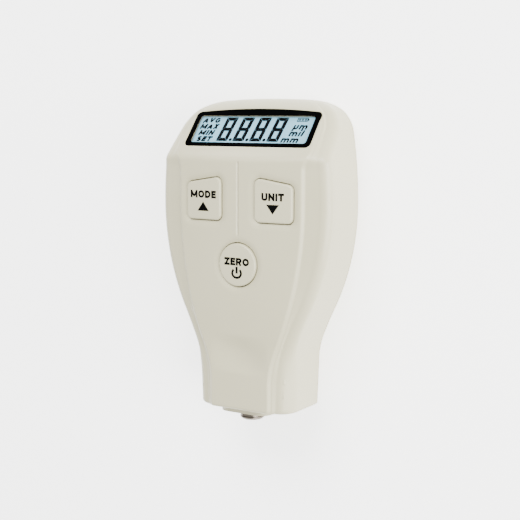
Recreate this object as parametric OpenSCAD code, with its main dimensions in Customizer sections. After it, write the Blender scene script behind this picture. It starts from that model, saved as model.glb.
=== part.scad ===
// Coating thickness gauge: a hand-held case with a slanted display, three keys and a sprung probe.
// Millimetres. The gauge lies on its back: +Z points out of the front, +Y to the display end.

/* [Case] */
// Length of the case from the foot's end to the display end
case_len = 96.6; // [95:0.2:106]
// Width of the case at its widest
case_w = 61; // [59:0.5:68]
// Height of the front panel's edges over the back
panel_z = 26.3; // [25.8:0.1:30]
// Rise of the crowned panel from its edges to the centre line
panel_crown = 1.1; // [0.5:0.1:1.5]
// Wall thickness of both shells
wall = 1.8; // [1.5:0.1:2.1]
// Height of the parting line over the back
part_z = 7; // [6.5:0.1:7.6]
// Radius of the outline between the belly and the neck
belly_r = 73.8; // [66:0.2:90]
// Radius of the outline between the belly and the display end
shoulder_r = 158; // [120:1:220]
// Distance from the display end to the widest place
belly_back = 32.5; // [28:0.5:36]
// Width of the foot at its end
foot_w = 34; // [33:0.5:37]
// Widening of the foot for each millimetre towards the neck
foot_taper = 0.04; // [0:0.01:0.08]
// Blend between the foot and the belly curve
neck_blend = 4.8; // [2:0.2:7]
// How far the foot's back is set in from the case's back
foot_set_in = 3.2; // [2.4:0.1:4]
// Corner radius of the display end, seen from the front
corner_r = 8.6; // [7:0.2:10]
// Arch of the display end's edge across its width
end_arch = 2.1; // [0.5:0.1:3]
// Edge radius of the display end
end_r = 3; // [2:0.1:3.4]
// Edge radius of the foot's end
foot_end_r = 1.1; // [0.5:0.1:1.6]

/* [Front panel] */
// Width of the raised key panel at the belly
panel_w = 45.2; // [44:0.2:47]
// Radius of the panel's edge lines
panel_r = 112; // [90:1:150]
// Width of the panel along the foot
foot_panel_w = 22.2; // [19:0.2:24]
// Height of the panel's rounded lip over the band beside it
lip_h = 0.8; // [0.3:0.1:1.2]
// Fall of the band from the lip to the shoulder
band_fall = 0.6; // [0.2:0.1:1]
// Width of the rounded shoulder
shoulder_a = 3.4; // [2.4:0.1:4]
// Depth of the rounded shoulder
shoulder_b = 2.6; // [1.5:0.1:4]
// Width of the rounded back corner
back_a = 10; // [7:0.2:12]
// Height of the rounded back corner
back_b = 6.4; // [5:0.1:6.4]
// Distance from the display end to the crease under the display
crease_back = 18.1; // [17.4:0.1:19]
// Slope of the display facet against the panel, in degrees
facet_deg = 39; // [36:0.5:41]
// Width of the engraved centre line
groove_w = 0.9; // [0.5:0.1:1.4]
// Distance from the foot's end to the middle of the thumb dent
dent_up = 17.4; // [16:0.2:19]
// Half width of the thumb dent
dent_a = 10.5; // [8:0.5:12]
// Reach of the thumb dent from its middle towards the keys
dent_b = 6.6; // [5:0.2:7]
// Reach of the thumb dent from its middle towards the foot
dent_lo = 5.4; // [4.6:0.1:6]
// Depth of the thumb dent
dent_d = 1.2; // [0.4:0.1:1.4]

/* [Keys] */
// Width of the mode and unit keys
key_w = 13; // [11:0.2:13.4]
// Length of these keys along the centre line
key_len = 13.2; // [11:0.2:14]
// Distance from the centre line to these keys
key_in = 6.1; // [5.6:0.1:6.6]
// Fall of these keys' top edge towards the outside
key_slope = 1.5; // [0:0.1:2.5]
// Corner radius of these keys
key_corner_r = 1.8; // [1:0.1:3]
// Distance from the crease down to these keys
key_drop = 6; // [5:0.2:7]
// Radius of the zero key
zero_r = 6.65; // [5.5:0.05:7.2]
// Distance from the upper keys down to the zero key
zero_drop = 6.7; // [6:0.1:8]
// Height of the key tops over the panel
key_rise = 0.35; // [0.2:0.05:0.6]
// Gap around each key
key_gap = 0.3; // [0.25:0.05:0.45]
// Width of the bevel around each key opening
bevel_w = 2; // [1.2:0.1:2.2]
// Depth of that bevel
bevel_d = 0.5; // [0.2:0.1:0.8]
// Travel of a key
key_travel = 0.5; // [0.3:0.05:0.7]

/* [Display] */
// Distance of the window plate from the case's widest side
window_side = 7.8; // [7.5:0.1:9]
// Length of the window plate along the facet, at its corners
window_len = 13.6; // [13:0.1:14.2]
// Rise of the window plate's arched upper edge
window_arch = 1.2; // [0.4:0.1:1.6]
// Distance along the facet from the crease to the window plate
window_up = 4.4; // [4:0.1:5]
// Thickness of the window plate
window_t = 0.8; // [0.7:0.1:1]
// Gap around the window plate
window_gap = 0.1; // [0.05:0.05:0.2]
// Corner radius of the window plate
window_r = 1.6; // [0.8:0.1:2.4]
// Width of the ledge that carries the window plate's ends
ledge_w = 1.4; // [1.3:0.1:2]
// Width of the ledge along the plate's lower and upper edges
ledge_len = 1.1; // [0.9:0.1:1.5]
// Gap around the liquid crystal panel in its opening
lcd_gap = 0.15; // [0.1:0.05:0.25]
// Thickness of the liquid crystal panel
lcd_t = 2.6; // [2:0.1:2.8]
// Height of the rubber contact strips
strip_h = 2; // [1.6:0.1:2.2]
// Width of the rubber contact strips
strip_w = 1.6; // [1.2:0.1:1.8]
// Thickness of the display board
dboard_t = 1; // [0.8:0.1:1.2]

/* [Electronics] */
// Thickness of the main board
board_t = 1.6; // [1:0.1:1.6]
// Height of a switch body
switch_h = 3.5; // [3:0.1:3.8]
// Side of a switch body
switch_a = 6; // [5:0.2:6.4]
// Height of a switch plunger
plunger_h = 1.5; // [1:0.1:1.7]
// Radius of a switch plunger
plunger_r = 1.7; // [1.2:0.1:2]

/* [Batteries] */
// Length of the case that the bodies of the battery cells leave free
free_len = 53.1; // [52.8:0.1:53.6]
// Height of a cell's button
cell_button = 1; // [0.8:0.1:1.2]
// Radius of a cell
cell_r = 5.25; // [5:0.05:5.3]
// Gap between the two cells
cell_gap = 0.7; // [0.4:0.1:1.2]
// Compressed length of a battery spring
cell_spring_h = 3; // [2.4:0.1:3.4]
// Thickness of the sheet-metal contacts
contact_t = 0.4; // [0.3:0.1:0.6]
// Thickness of the battery cover
cover_t = 1.5; // [1.2:0.1:1.6]
// Width of the cover's side tongues
tongue_w = 1; // [0.7:0.1:1.2]
// Thickness of the cover's side tongues
tongue_t = 0.7; // [0.5:0.1:0.8]
// Gap around the sliding cover
cover_gap = 0.2; // [0.15:0.05:0.3]

/* [Probe] */
// Height of the probe's axis over the back
probe_z = 18.5; // [18:0.1:19]
// Radius of the probe sleeve
sleeve_r = 3.85; // [3.5:0.05:4]
// How far the probe reaches out of the collar
probe_reach = 3; // [2.7:0.1:4]
// Height of the moulded collar around the probe
collar_h = 1.2; // [0.6:0.1:2]
// Half width of the collar
collar_a = 9; // [8:0.2:10]
// Half depth of the collar
collar_b = 6.6; // [6.2:0.1:6.8]
// Running clearance between the sleeve and its bush
bush_clear = 0.05; // [0.02:0.01:0.1]
// Wall thickness of the bush
bush_wall = 1; // [0.8:0.1:1.1]
// Stroke of the sprung probe
probe_stroke = 2.5; // [2:0.1:2.5]

/* [Hidden] */
$fn = 48;

ivory = [0.86, 0.85, 0.79];
board_green = [0.10, 0.36, 0.20];
steel = [0.72, 0.72, 0.72];

// A hair's breadth that lets cuts run past a face
eps = 0.01;

// Places along the length, with the middle of the whole gauge at zero
top_y = (case_len + collar_h + probe_reach) / 2;
foot_y = top_y - case_len;
crease_y = top_y - crease_back;
belly_y = top_y - belly_back;
neck_lo_y = foot_y + 9.2;
neck_hi_y = foot_y + 25.2;
dent_y = foot_y + dent_up;
facet_m = tan(facet_deg);
facet_k = 1 / cos(facet_deg);

// Radius of the panel's lip, and the rim between it and the window's recess
lip_r = 1.1;
facet_rim = 0.45;

// Keys
key_top_y = crease_y - key_drop;
key_lo_y = key_top_y - key_len;
key_mid_x = key_in + key_w / 2;
key_mid_y = key_lo_y + (key_len - key_slope / 2) / 2;
zero_y = key_lo_y - zero_drop - zero_r;
crown_r = (panel_w * panel_w / 4 + panel_crown * panel_crown) / (2 * panel_crown);
key_tilt = (crown_rise(key_in) - crown_rise(key_in + key_w)) / key_w;
key_rim_z = panel_z + crown_rise(key_in) + key_tilt * key_in + 0.1;
groove_lo_y = zero_y + zero_r + 2.2;
groove_hi_y = crease_y - 0.8;
stem_r = 1.9;
plunger_gap = 0.3;
flange_w = 0.8;
flange_t = 0.8;
flange_z = panel_z - wall - 0.4 - flange_t;

// Batteries and the bay that holds them
cell_body = case_len - free_len;
cell_len = cell_body + cell_button;
cell_x = cell_r + cell_gap / 2;
cell_z = cover_t + 0.5 + cell_r;
button_r = 1.9;
bay_half = 2 * cell_r + cell_gap / 2 + 0.3;
bay_wall = 1.2;
bay_lo_y = foot_y + 27.7;
bay_hi_y = bay_lo_y + cell_len + cell_spring_h + 2 * contact_t + 0.2;
bay_top_z = cell_z + cell_r + 0.35;
cell_lo_y = bay_lo_y + contact_t + 0.1;
cell_hi_y = bay_hi_y - contact_t - 0.1;
saddle_up = 8;
saddle_t = 1.2;
contact_half = 3.6;
rail_z = cover_t + cover_gap;
rail_t = 1.4;
cover_half = bay_half + 1.2;
rail_half = cover_half + tongue_w + 1.5;
cover_lo_y = foot_y + 25.6;
cover_hi_y = bay_hi_y + 1.6;
groove_z = cover_t - tongue_t - cover_gap;

// Conical battery springs: radius at each end, turns and radius of the wire
cell_coil_r = [3, 1.6];
cell_coil_turns = 2.5;
cell_wire_r = 0.3;

// Grip grooves of the cover: place of the first, pitch, radius, length, and by how much the next is shorter
grip_up = 5;
grip_pitch = 1.6;
grip_r = 0.45;
grip_len = 14;
grip_step = 1.2;

// Main board
board_z = bay_top_z + bay_wall + 1.3;
board_top = board_z + board_t;
board_lo_y = foot_y + 25.7;
board_hi_y = crease_y - 5.3;
board_corner_r = 3;

// Pieces on the main board: width, length and height
controller = [9, 9, 1.4];
amplifier = [5, 4, 1.5];
crystal = [4, 1.8, 3.2];
connector_w = 6;
connector_len = 3.6;
connector_in = 0.8;

// Posts for the case screws and the board screws
post_r = 2.7;
post_hi_y = belly_y + 6.1;
post_lo_y = foot_y + 8.2;
post_hi_x = half_w(post_hi_y) - wall - post_r - 1.5;
post_lo_x = half_w(post_lo_y) - wall - post_r - 1.6;
board_half = post_hi_x - post_r - 0.7;
board_post_r = 2;
board_hole_r = 1.1;
board_post_x = [board_half - 2.5, key_mid_x + 1.4];
board_post_y = [key_lo_y - 4.1, board_lo_y + 6.45];
screw_head_r = 2.4;
screw_head_h = 1.5;
screw_r = 1.25;
screw_grip = 8;
boss_floor = 1.3;
bscrew_head_r = 1.8;
bscrew_head_h = 1;
bscrew_r = 0.75;
bscrew_grip = 5.4;
pilot_run = 0.5;
seat_hi_z = back_z(post_hi_y) + 1.5 + screw_head_h;
seat_lo_z = back_z(post_lo_y) + 0.4 + screw_head_h;
// Each pair of case posts: distance from the centre line, place along the case, seat of the screw head
case_posts = [[post_hi_x, post_hi_y, seat_hi_z], [post_lo_x, post_lo_y, seat_lo_z]];

// Display stack, measured along the facet and down its normal
window_w = case_w - 2 * window_side;
view_w = window_w - 2 * ledge_w;
view_len = window_len - 2 * ledge_len;
view_lo = window_up + ledge_len;
lcd_half = view_w / 2 - lcd_gap;
lcd_len = view_len - 2 * lcd_gap;
lcd_lo = view_lo + lcd_gap;
lcd_play = 0.02;
lcd_z = -window_t - lcd_play - lcd_t;
strip_z = lcd_z - strip_h;
dboard_z = strip_z - dboard_t;
dboard_rim = 1.2;
dboard_lo = lcd_lo - dboard_rim;
dboard_len = lcd_len + 2 * dboard_rim;
dpost_r = 1.3;
dpost_x = view_w / 2 + 0.3 + dpost_r;
dboard_half = dpost_x + dpost_r + 0.7;
dpost_up = lcd_lo + lcd_len / 2;
dboard_hole_r = 0.9;
dscrew_head_r = 1.4;
dscrew_head_h = 0.9;
dscrew_r = 0.55;
dscrew_grip = 3.6;
strip_in = 1;
strip_edge = 0.2;
guide_in = 2;
guide_gap = 0.6;
guide_play = 0.2;
cable_w = 16;
cable_t = 0.3;
cable_lap = 3;

// Probe, along its own axis
bush_bore_r = sleeve_r + bush_clear;
bush_r = bush_bore_r + bush_wall;
bush_lo_y = foot_y - collar_h;
bush_flange_y = foot_y + 2;
bush_flange_t = 1;
bush_flange_r = bush_r + 0.6;
bush_hi_y = bush_flange_y + bush_flange_t + 0.8;
housing_t = 0.6;
housing_bore_r = bush_r + 0.03;
sleeve_flange_t = 1.2;
sleeve_flange_y = bush_hi_y + 0.1;
sleeve_hi_y = sleeve_flange_y + sleeve_flange_t;
spring_len = probe_stroke + 2.2;
housing_back_y = sleeve_hi_y + spring_len;
housing_hi_y = housing_back_y + 1.2;
tip_y = foot_y - collar_h - probe_reach;
tip_proud = 0.3;
sleeve_wall = 0.95;
sleeve_rim = 0.65;
bobbin_r = sleeve_r - sleeve_wall;
core_r = 1.25;
hub_r = core_r + 0.5;
bobbin_flange = 1.2;
bobbin_lo = 0.2;
bobbin_hi = 0.4;
winding_in = 0.3;
spring_in = 0.2;
spring_turns = 4;
spring_wire_r = 0.25;
lead_r = 0.8;

// Smooth step, smooth maximum and the fall of a circle away from its top
function sstep(a, b, v) = let (t = min(1, max(0, (v - a) / (b - a)))) t * t * (3 - 2 * t);
function smax(a, b, k) = let (h = max(k - abs(a - b), 0) / k) max(a, b) + h * h * k / 4;
function arc_fall(r, d) = r - sqrt(max(r * r - d * d, 0));

// Half width of the case's outline, set in by s
function belly_half(y) = case_w / 2 - arc_fall(y < belly_y ? belly_r : shoulder_r, y - belly_y);
function foot_half(y) = foot_w / 2 + foot_taper * (y - foot_y);
function side_half(y) = y < belly_y ? smax(belly_half(y), foot_half(y), neck_blend) : belly_half(y);
function half_w(y, s = 0) = side_half(y) - s - arc_fall(corner_r - s, max(0, y - top_y + corner_r));

// Set-in of a section where the two ends are rounded over
function end_inset(y) =
    arc_fall(end_r, max(0, y - top_y + end_r)) + arc_fall(foot_end_r, max(0, foot_y + foot_end_r - y));

// Half width of the raised panel, which widens into the whole display facet
function panel_half(y) =
    let (key_part = smax(panel_w / 2 - arc_fall(panel_r, min(0, y - belly_y)), foot_panel_w / 2, 3))
    let (facet_part = window_w / 2 + window_gap + lip_r + facet_rim)
    let (k = sstep(crease_y - 3, crease_y + 3, y))
    min(key_part * (1 - k) + facet_part * k, half_w(y) - shoulder_a - 0.8);

// Height of the front along the centre and the panel, without the lip
function crown_rise(x) = panel_crown * (1 - pow(2 * x / panel_w, 2));
function crown_at(y) =
    panel_crown * (1 - sstep(crease_y - 1.5, crease_y + 3, y))
        * (0.25 + 0.75 * sstep(dent_y, dent_y + 16, y));
function crease_fall(y) = smax(0, facet_m * (y - crease_y), 0.8);
function dent_at(x, y) =
    let (across = pow(max(0, 1 - pow(x / dent_a, 2)), 1.5))
    let (lower = max(0, 1 - pow((y - dent_y) / dent_lo, 2)))
    let (upper = pow(max(0, 1 - pow((y - dent_y) / dent_b, 2)), 1.5))
    dent_d * across * (y < dent_y ? lower : upper);
function front_z(x, y) =
    panel_z - crease_fall(y) + crown_at(y) * (1 - pow(2 * x / panel_w, 2)) - dent_at(x, y);
function lip_at(y) = lip_h * (1 - 0.5 * sstep(crease_y - 3, crease_y + 1, y));
function back_z(y) = foot_set_in * (1 - sstep(neck_lo_y, neck_hi_y, y));

// The end edge is arched: points further from the centre line lie further down
function arched(x, y) = y - end_arch * pow(2 * x / case_w, 2) * max(0, y - belly_y) / belly_back;

// Right half of a front section, from the centre line to the parting line
function front_half(y) =
    let (e = end_inset(y))
    let (w = half_w(y) - e)
    let (wp = min(panel_half(y), w - shoulder_a - 0.8))
    let (foot_k = 1 - sstep(neck_lo_y, neck_hi_y, y))
    let (ra = shoulder_a + foot_k * 1.2)
    let (ze = front_z(wp, arched(wp, y)) - e)
    let (room = min(1, (ze - part_z) / 12))
    let (lip = lip_at(y) * room)
    let (fall = band_fall * room)
    let (rv = (shoulder_b + foot_k * 3) * room)
    concat(
        [for (k = [0:5]) let (x = (wp - lip_r) * k / 5) [x, front_z(x, arched(x, y)) - e]],
        [for (a = [30:30:90]) [wp - lip_r * (1 - sin(a)), ze - lip * (1 - cos(a))]],
        [[wp + 0.5, ze - lip - 0.05 * room]],
        [for (a = [0:22.5:90]) [w - ra * (1 - sin(a)), ze - lip - fall - rv * (1 - cos(a))]],
        [[w, part_z]]
    );

// Right half of a rear section, from the parting line to the centre line
function rear_half(y) =
    let (e = end_inset(y))
    let (w = half_w(y) - e)
    let (zb = back_z(y) + e)
    let (b = min(back_b, part_z - 0.3 - zb))
    let (draft = 0.5)
    concat(
        [[w, part_z]],
        [for (a = [0:22.5:90]) [w - draft - back_a * (1 - cos(a)), zb + b * (1 - sin(a))]],
        [[(w - draft - back_a) / 2, zb], [0, zb]]
    );

// Right half of the inner front and rear sections, set in by s: the hollow lies one wall inside
function inner_front_half(y, s) =
    let (w = half_w(y, s))
    let (wp = min(panel_half(y) - 0.5, w - 0.7 * shoulder_a))
    let (zi = function (x) front_z(x, arched(x, y)) - (y > crease_y ? facet_k : 1) * s)
    let (ze = max(zi(wp), part_z + 0.4))
    let (drop = min(shoulder_b + lip_h + band_fall, ze - part_z - 0.2))
    concat(
        [for (k = [0:3]) let (x = wp * k / 3) [x, max(zi(x), part_z + 0.4)]],
        [[w - shoulder_a * 0.4, ze - 0.3 * drop], [w, ze - drop], [w, part_z - 1]]
    );
function inner_rear_half(y, s) =
    let (w = half_w(y, s))
    let (zb = back_z(y) + s)
    let (b = min(back_b - 0.4, part_z - zb - 0.3))
    concat(
        [[w, part_z + 1], [w, part_z - 0.2]],
        [for (a = [30:30:90]) [w - (back_a - 1) * (1 - cos(a)), zb + b * (1 - sin(a))]],
        [[0, zb]]
    );

// Stations along the case: closer together at the crease and round the ends
function stations() = concat(
    [for (a = [90:-30:30]) foot_y + foot_end_r * (1 - sin(a))],
    let (lo = foot_y + foot_end_r, hi = crease_y - 1.3)
    [for (i = [0:21]) lo + (hi - lo) * i / 21],
    [crease_y - 0.5, crease_y, crease_y + 0.5],
    let (lo = crease_y + 1.4, hi = top_y - corner_r)
    [for (i = [0:2]) lo + (hi - lo) * i / 2],
    [for (a = [18:18:72]) top_y - corner_r + corner_r * sin(a)],
    [top_y - 0.06, top_y]
);
function inner_stations(s, n = 13) =
    let (lo = foot_y + s, hi = top_y - s)
    concat(
        [for (i = [0:n]) lo + (crease_y - lo) * i / n],
        [for (i = [1:4]) crease_y + (top_y - corner_r - crease_y) * i / 4],
        [for (a = [30:20:90]) hi - (corner_r - s) * (1 - sin(a))]
    );

// A point kept to a hundredth of a millimetre
function snap(p) = [for (v = p) round(v * 100) / 100];

// A closed solid through a row of half sections, mirrored over the centre line
module loft(halves, ys) {
    m = len(halves[0]);
    n = 2 * m - 1;
    ring = function (h, y) concat(
        [for (i = [m - 1:-1:1]) snap([-h[i][0], arched(h[i][0], y), h[i][1]])],
        [for (i = [0:m - 1]) snap([h[i][0], arched(h[i][0], y), h[i][1]])]
    );
    rings = [for (j = [0:len(ys) - 1]) ring(halves[j], ys[j])];
    last = len(ys) - 1;
    mid = function (r) (r[0] + r[n - 1]) / 4 + r[m - 1] / 2;
    points = concat([for (r = rings) each r], [mid(rings[0]), mid(rings[last])]);
    at = function (j, i) j * n + i % n;
    faces = concat(
        [for (j = [0:last - 1], i = [0:n - 1]) [at(j, i), at(j + 1, i), at(j + 1, i + 1)]],
        [for (j = [0:last - 1], i = [0:n - 1]) [at(j, i), at(j + 1, i + 1), at(j, i + 1)]],
        [for (i = [0:n - 1]) [at(0, i), at(0, i + 1), len(points) - 2]],
        [for (i = [0:n - 1]) [at(last, i + 1), at(last, i), len(points) - 1]]
    );
    polyhedron(points, faces);
}

// The same loft with its halves listed from the parting line inwards
module loft_rear(halves, ys) {
    m = len(halves[0]);
    loft([for (h = halves) [for (i = [m - 1:-1:0]) h[i]]], ys);
}

module front_solid() {
    ys = stations();
    loft([for (y = ys) front_half(y)], ys);
}

module rear_solid() {
    ys = stations();
    mirror([0, 0, 1]) loft_rear([for (y = ys) [for (p = rear_half(y)) [p[0], -p[1]]]], ys);
}

module front_inner(s) {
    ys = inner_stations(s, 12);
    loft([for (y = ys) inner_front_half(y, s)], ys);
}

module rear_inner(s) {
    ys = inner_stations(s);
    mirror([0, 0, 1]) loft_rear([for (y = ys) [for (p = inner_rear_half(y, s)) [p[0], -p[1]]]], ys);
}

// Outline of the case at the parting line, set in by s
module part_outline(s) {
    ys = inner_stations(s);
    right = [for (y = ys) let (w = half_w(y, s)) [w, arched(w, y)]];
    left = [for (i = [len(ys) - 1:-1:0]) [-right[i][0], right[i][1]]];
    polygon(concat(right, left));
}

// Puts children on the display facet: origin at the crease, y up the facet, z out of it
module on_facet() {
    translate([0, crease_y, panel_z]) rotate([-facet_deg, 0, 0]) children();
}

// Puts children on the probe's axis: z runs up into the case from the given place
module on_probe(y) {
    translate([0, y, probe_z]) rotate([-90, 0, 0]) children();
}

// Seats of the four case screws, and places of the four board screws
module at_case_screws() {
    for (s = [-1, 1], p = case_posts) translate([s * p[0], p[1], p[2]]) children();
}

module at_board_screws() {
    for (s = [-1, 1], i = [0, 1]) translate([s * board_post_x[i], board_post_y[i], 0]) children();
}

// Outline of the unit key, grown by g
module side_key_outline(g) {
    r = key_corner_r + g;
    c = key_corner_r;
    $fn = 24;
    hull() {
        translate([key_in + c, key_lo_y + c]) circle(r);
        translate([key_in + key_w - c, key_lo_y + c]) circle(r);
        translate([key_in + key_w - c, key_top_y - key_slope - c]) circle(r);
        translate([key_in + c, key_top_y - c]) circle(r);
    }
}

module zero_key_outline(g) {
    translate([0, zero_y]) circle(zero_r + g);
}

// Outline of the window plate on the facet, grown by g
module window_outline(g) {
    r = window_r + g;
    $fn = 24;
    hull() {
        for (s = [-1, 1]) translate([s * (window_w / 2 - window_r), window_up + window_r]) circle(r);
        for (i = [-4:4]) let (x = (window_w / 2 - window_r) * i / 4)
            translate([x, window_up + window_len + window_arch * (1 - i * i / 16) - window_r]) circle(r);
    }
}

// Room for a key in the front wall, with a bevelled rim that follows the panel's tilt
module key_opening(rim_z, tilt) {
    translate([0, 0, panel_z - wall - 2]) linear_extrude(wall + 8) children(0);
    multmatrix([[1, 0, 0, 0], [0, 1, 0, 0], [-tilt, 0, 1, rim_z]]) hull() {
        translate([0, 0, -bevel_d]) linear_extrude(eps) children(0);
        linear_extrude(panel_crown) children(1);
    }
}

// A long drum whose upper side is the crowned panel, lifted by rise
module under_crown(rise) {
    translate([0, 0, panel_z + panel_crown - crown_r]) rotate([90, 0, 0])
        cylinder(r = crown_r + rise, h = 4 * case_len, center = true, $fn = 400);
}

// A post for a case screw with two webs that tie it to the wall beside it
module case_post(x, y, top) {
    s = sign(x);
    translate([x, y, part_z]) cylinder(r = post_r, h = top - part_z, $fn = 24);
    for (d = [-1, 1]) hull() {
        translate([x, y, part_z + 1]) cylinder(r = 0.6, h = top - part_z - 1, $fn = 8);
        translate([x + s * (post_r + wall), y + d * post_r, part_z + 3])
            cylinder(r = 0.6, h = top - part_z - 3, $fn = 8);
    }
}

module front_posts() {
    for (s = [-1, 1], p = case_posts) case_post(s * p[0], p[1], panel_z);
    at_board_screws() translate([0, 0, board_top])
        cylinder(r = board_post_r, h = panel_z - board_top, $fn = 20);
}

// Two posts under the facet that carry the display board
module display_posts() {
    on_facet() for (s = [-1, 1]) translate([s * dpost_x, dpost_up, strip_z])
        cylinder(r = dpost_r, h = -strip_z, $fn = 14);
}

// Hole that a screw of radius r is driven into
module pilot(r, h) {
    sides = 12;
    cylinder(r = (r + 0.03) / cos(180 / sides), h = h, $fn = sides);
}

// Rounded collar that the probe's bush sits in
module probe_collar() {
    hull() for (sx = [-1, 1], sz = [-1, 1])
        translate([sx * (collar_a - 4), foot_y + 1, probe_z + sz * (collar_b - 4)]) rotate([90, 0, 0])
            cylinder(r = 4, h = collar_h + 1, $fn = 24);
}

module front_shell() {
    color(ivory) difference() {
        union() {
            difference() {
                front_solid();
                front_inner(wall);
            }
            intersection() {
                front_inner(wall / 2);
                union() {
                    front_posts();
                    display_posts();
                }
            }
            for (s = [-1, 1], p = case_posts) translate([s * p[0], p[1], p[2] + boss_floor])
                cylinder(r = post_r, h = part_z + 1 - p[2] - boss_floor, $fn = 24);
            translate([0, 0, part_z - 1]) linear_extrude(1.6) difference() {
                part_outline(wall / 2 + 0.1);
                part_outline(wall + 0.2);
            }
            probe_collar();
        }
        for (m = [0, 1]) mirror([m, 0, 0]) key_opening(key_rim_z, key_tilt) {
            side_key_outline(key_gap);
            side_key_outline(key_gap + bevel_w);
        }
        key_opening(panel_z + panel_crown, 0) {
            zero_key_outline(key_gap);
            zero_key_outline(key_gap + bevel_w);
        }
        on_facet() {
            translate([0, 0, -window_t]) linear_extrude(window_t + 2) window_outline(window_gap);
            translate([-view_w / 2, view_lo, -wall - 1]) cube([view_w, view_len, wall + 2]);
            for (s = [-1, 1]) translate([s * dpost_x, dpost_up, strip_z - 1])
                pilot(dscrew_r, dscrew_grip - dboard_t + 1.2);
        }
        at_case_screws() pilot(screw_r, screw_grip + pilot_run);
        at_board_screws() translate([0, 0, board_z]) pilot(bscrew_r, bscrew_grip + pilot_run);
        on_probe(foot_y - collar_h - 1) cylinder(r = bush_r + 0.02, h = collar_h + 5);
        translate([0, (groove_lo_y + groove_hi_y) / 2, panel_z + panel_crown]) rotate([0, 45, 0])
            cube([groove_w * 0.7, groove_hi_y - groove_lo_y, groove_w * 0.7], center = true);
    }
}

// Walls of the battery bay
module battery_bay() {
    foot_z = rail_z - 0.5;
    translate([-bay_half - bay_wall, bay_lo_y - bay_wall, foot_z])
        cube([2 * (bay_half + bay_wall), bay_hi_y - bay_lo_y + 2 * bay_wall, bay_top_z + bay_wall - foot_z]);
}

// Thickened floor over the sliding cover and its tongues
module cover_rails() {
    translate([-rail_half, neck_lo_y + 4, rail_z - 1])
        cube([2 * rail_half, cover_hi_y + 2 - neck_lo_y - 4, rail_t + 1]);
}

// Half pipes that keep the two cells in place
module cell_saddles() {
    for (y = [cell_lo_y + saddle_up, cell_hi_y - saddle_up - saddle_t]) translate([-bay_half, y, cell_z])
        cube([2 * bay_half, saddle_t, bay_top_z - cell_z]);
}

// A boss that takes one case screw from the back, with a web on either side
module screw_boss(x, y, seat_z) {
    h = seat_z + boss_floor - 0.05;
    web_deg = 40;
    translate([x, y, 0]) rotate(5) cylinder(r = screw_head_r + 1, h = h, $fn = 32);
    for (a = [web_deg, web_deg + 180]) hull() {
        translate([x, y, 0]) cylinder(r = 0.5, h = h - 0.2, $fn = 8);
        translate([x + (screw_head_r + 2.2) * cos(a), y + (screw_head_r + 2.2) * sin(a), 0])
            cylinder(r = 0.5, h = wall + 1, $fn = 8);
    }
}

module rear_shell() {
    color(ivory) difference() {
        union() {
            difference() {
                rear_solid();
                rear_inner(wall);
            }
            battery_bay();
            intersection() {
                rear_inner(wall / 2);
                union() {
                    cover_rails();
                    for (s = [-1, 1], p = case_posts) screw_boss(s * p[0], p[1], p[2]);
                }
            }
        }
        difference() {
            translate([-bay_half, bay_lo_y, -1]) cube([2 * bay_half, bay_hi_y - bay_lo_y, bay_top_z + 1]);
            cell_saddles();
        }
        for (s = [-1, 1]) translate([s * cell_x, cell_lo_y, cell_z]) rotate([-90, 0, 0])
            cylinder(r = cell_r + 0.15, h = cell_hi_y - cell_lo_y, $fn = 40);
        cover_room();
        at_case_screws() {
            translate([0, 0, -part_z]) cylinder(r = screw_head_r + 0.3, h = part_z, $fn = 24);
            translate([0, 0, -1]) cylinder(r = screw_r + 0.25, h = part_z, $fn = 16);
        }
        translate([0, 0, part_z - 1.15]) linear_extrude(2) difference() {
            part_outline(wall / 2);
            part_outline(wall + 0.6);
        }
    }
}

// Room for the sliding cover and its tongues, open towards the foot
module cover_room() {
    translate([-cover_half - cover_gap, foot_y, -1])
        cube([2 * (cover_half + cover_gap), cover_hi_y + cover_gap - foot_y, rail_z + 1]);
    translate([-cover_half - tongue_w - cover_gap, foot_y, groove_z])
        cube([2 * (cover_half + tongue_w + cover_gap), cover_hi_y + cover_gap - foot_y, rail_z - groove_z]);
}

module battery_cover() {
    len = cover_hi_y - cover_lo_y;
    color(ivory) difference() {
        union() {
            translate([-cover_half, cover_lo_y, 0]) cube([2 * cover_half, len, cover_t]);
            translate([-cover_half - tongue_w, cover_lo_y, cover_t - tongue_t])
                cube([2 * (cover_half + tongue_w), len, tongue_t]);
        }
        for (i = [0:5]) translate([0, cover_lo_y + grip_up + grip_pitch * i, 0]) rotate([0, 90, 0])
            cylinder(r = grip_r, h = grip_len - grip_step * i, center = true, $fn = 24);
    }
}

module display_window() {
    color([0.05, 0.05, 0.06]) on_facet() translate([0, 0, -window_t])
        linear_extrude(window_t) window_outline(0);
}

module lcd_panel() {
    color([0.72, 0.83, 0.86]) on_facet() translate([-lcd_half, lcd_lo, lcd_z])
        cube([2 * lcd_half, lcd_len, lcd_t]);
}

module light_guide() {
    edge = strip_w + guide_gap;
    color("white") on_facet() translate([guide_in - lcd_half, lcd_lo + edge, strip_z + guide_play])
        cube([2 * (lcd_half - guide_in), lcd_len - 2 * edge, strip_h - guide_play]);
}

module contact_strips() {
    ys = [lcd_lo + strip_edge, lcd_lo + lcd_len - strip_w - strip_edge];
    color([0.25, 0.25, 0.27]) on_facet() for (y = ys) translate([strip_in - lcd_half, y, strip_z])
        cube([2 * (lcd_half - strip_in), strip_w, strip_h]);
}

module display_board() {
    color(board_green) on_facet() difference() {
        translate([-dboard_half, dboard_lo, dboard_z]) cube([2 * dboard_half, dboard_len, dboard_t]);
        for (s = [-1, 1]) translate([s * dpost_x, dpost_up, dboard_z - 1])
            cylinder(r = dboard_hole_r, h = dboard_t + 2);
    }
}

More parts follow.
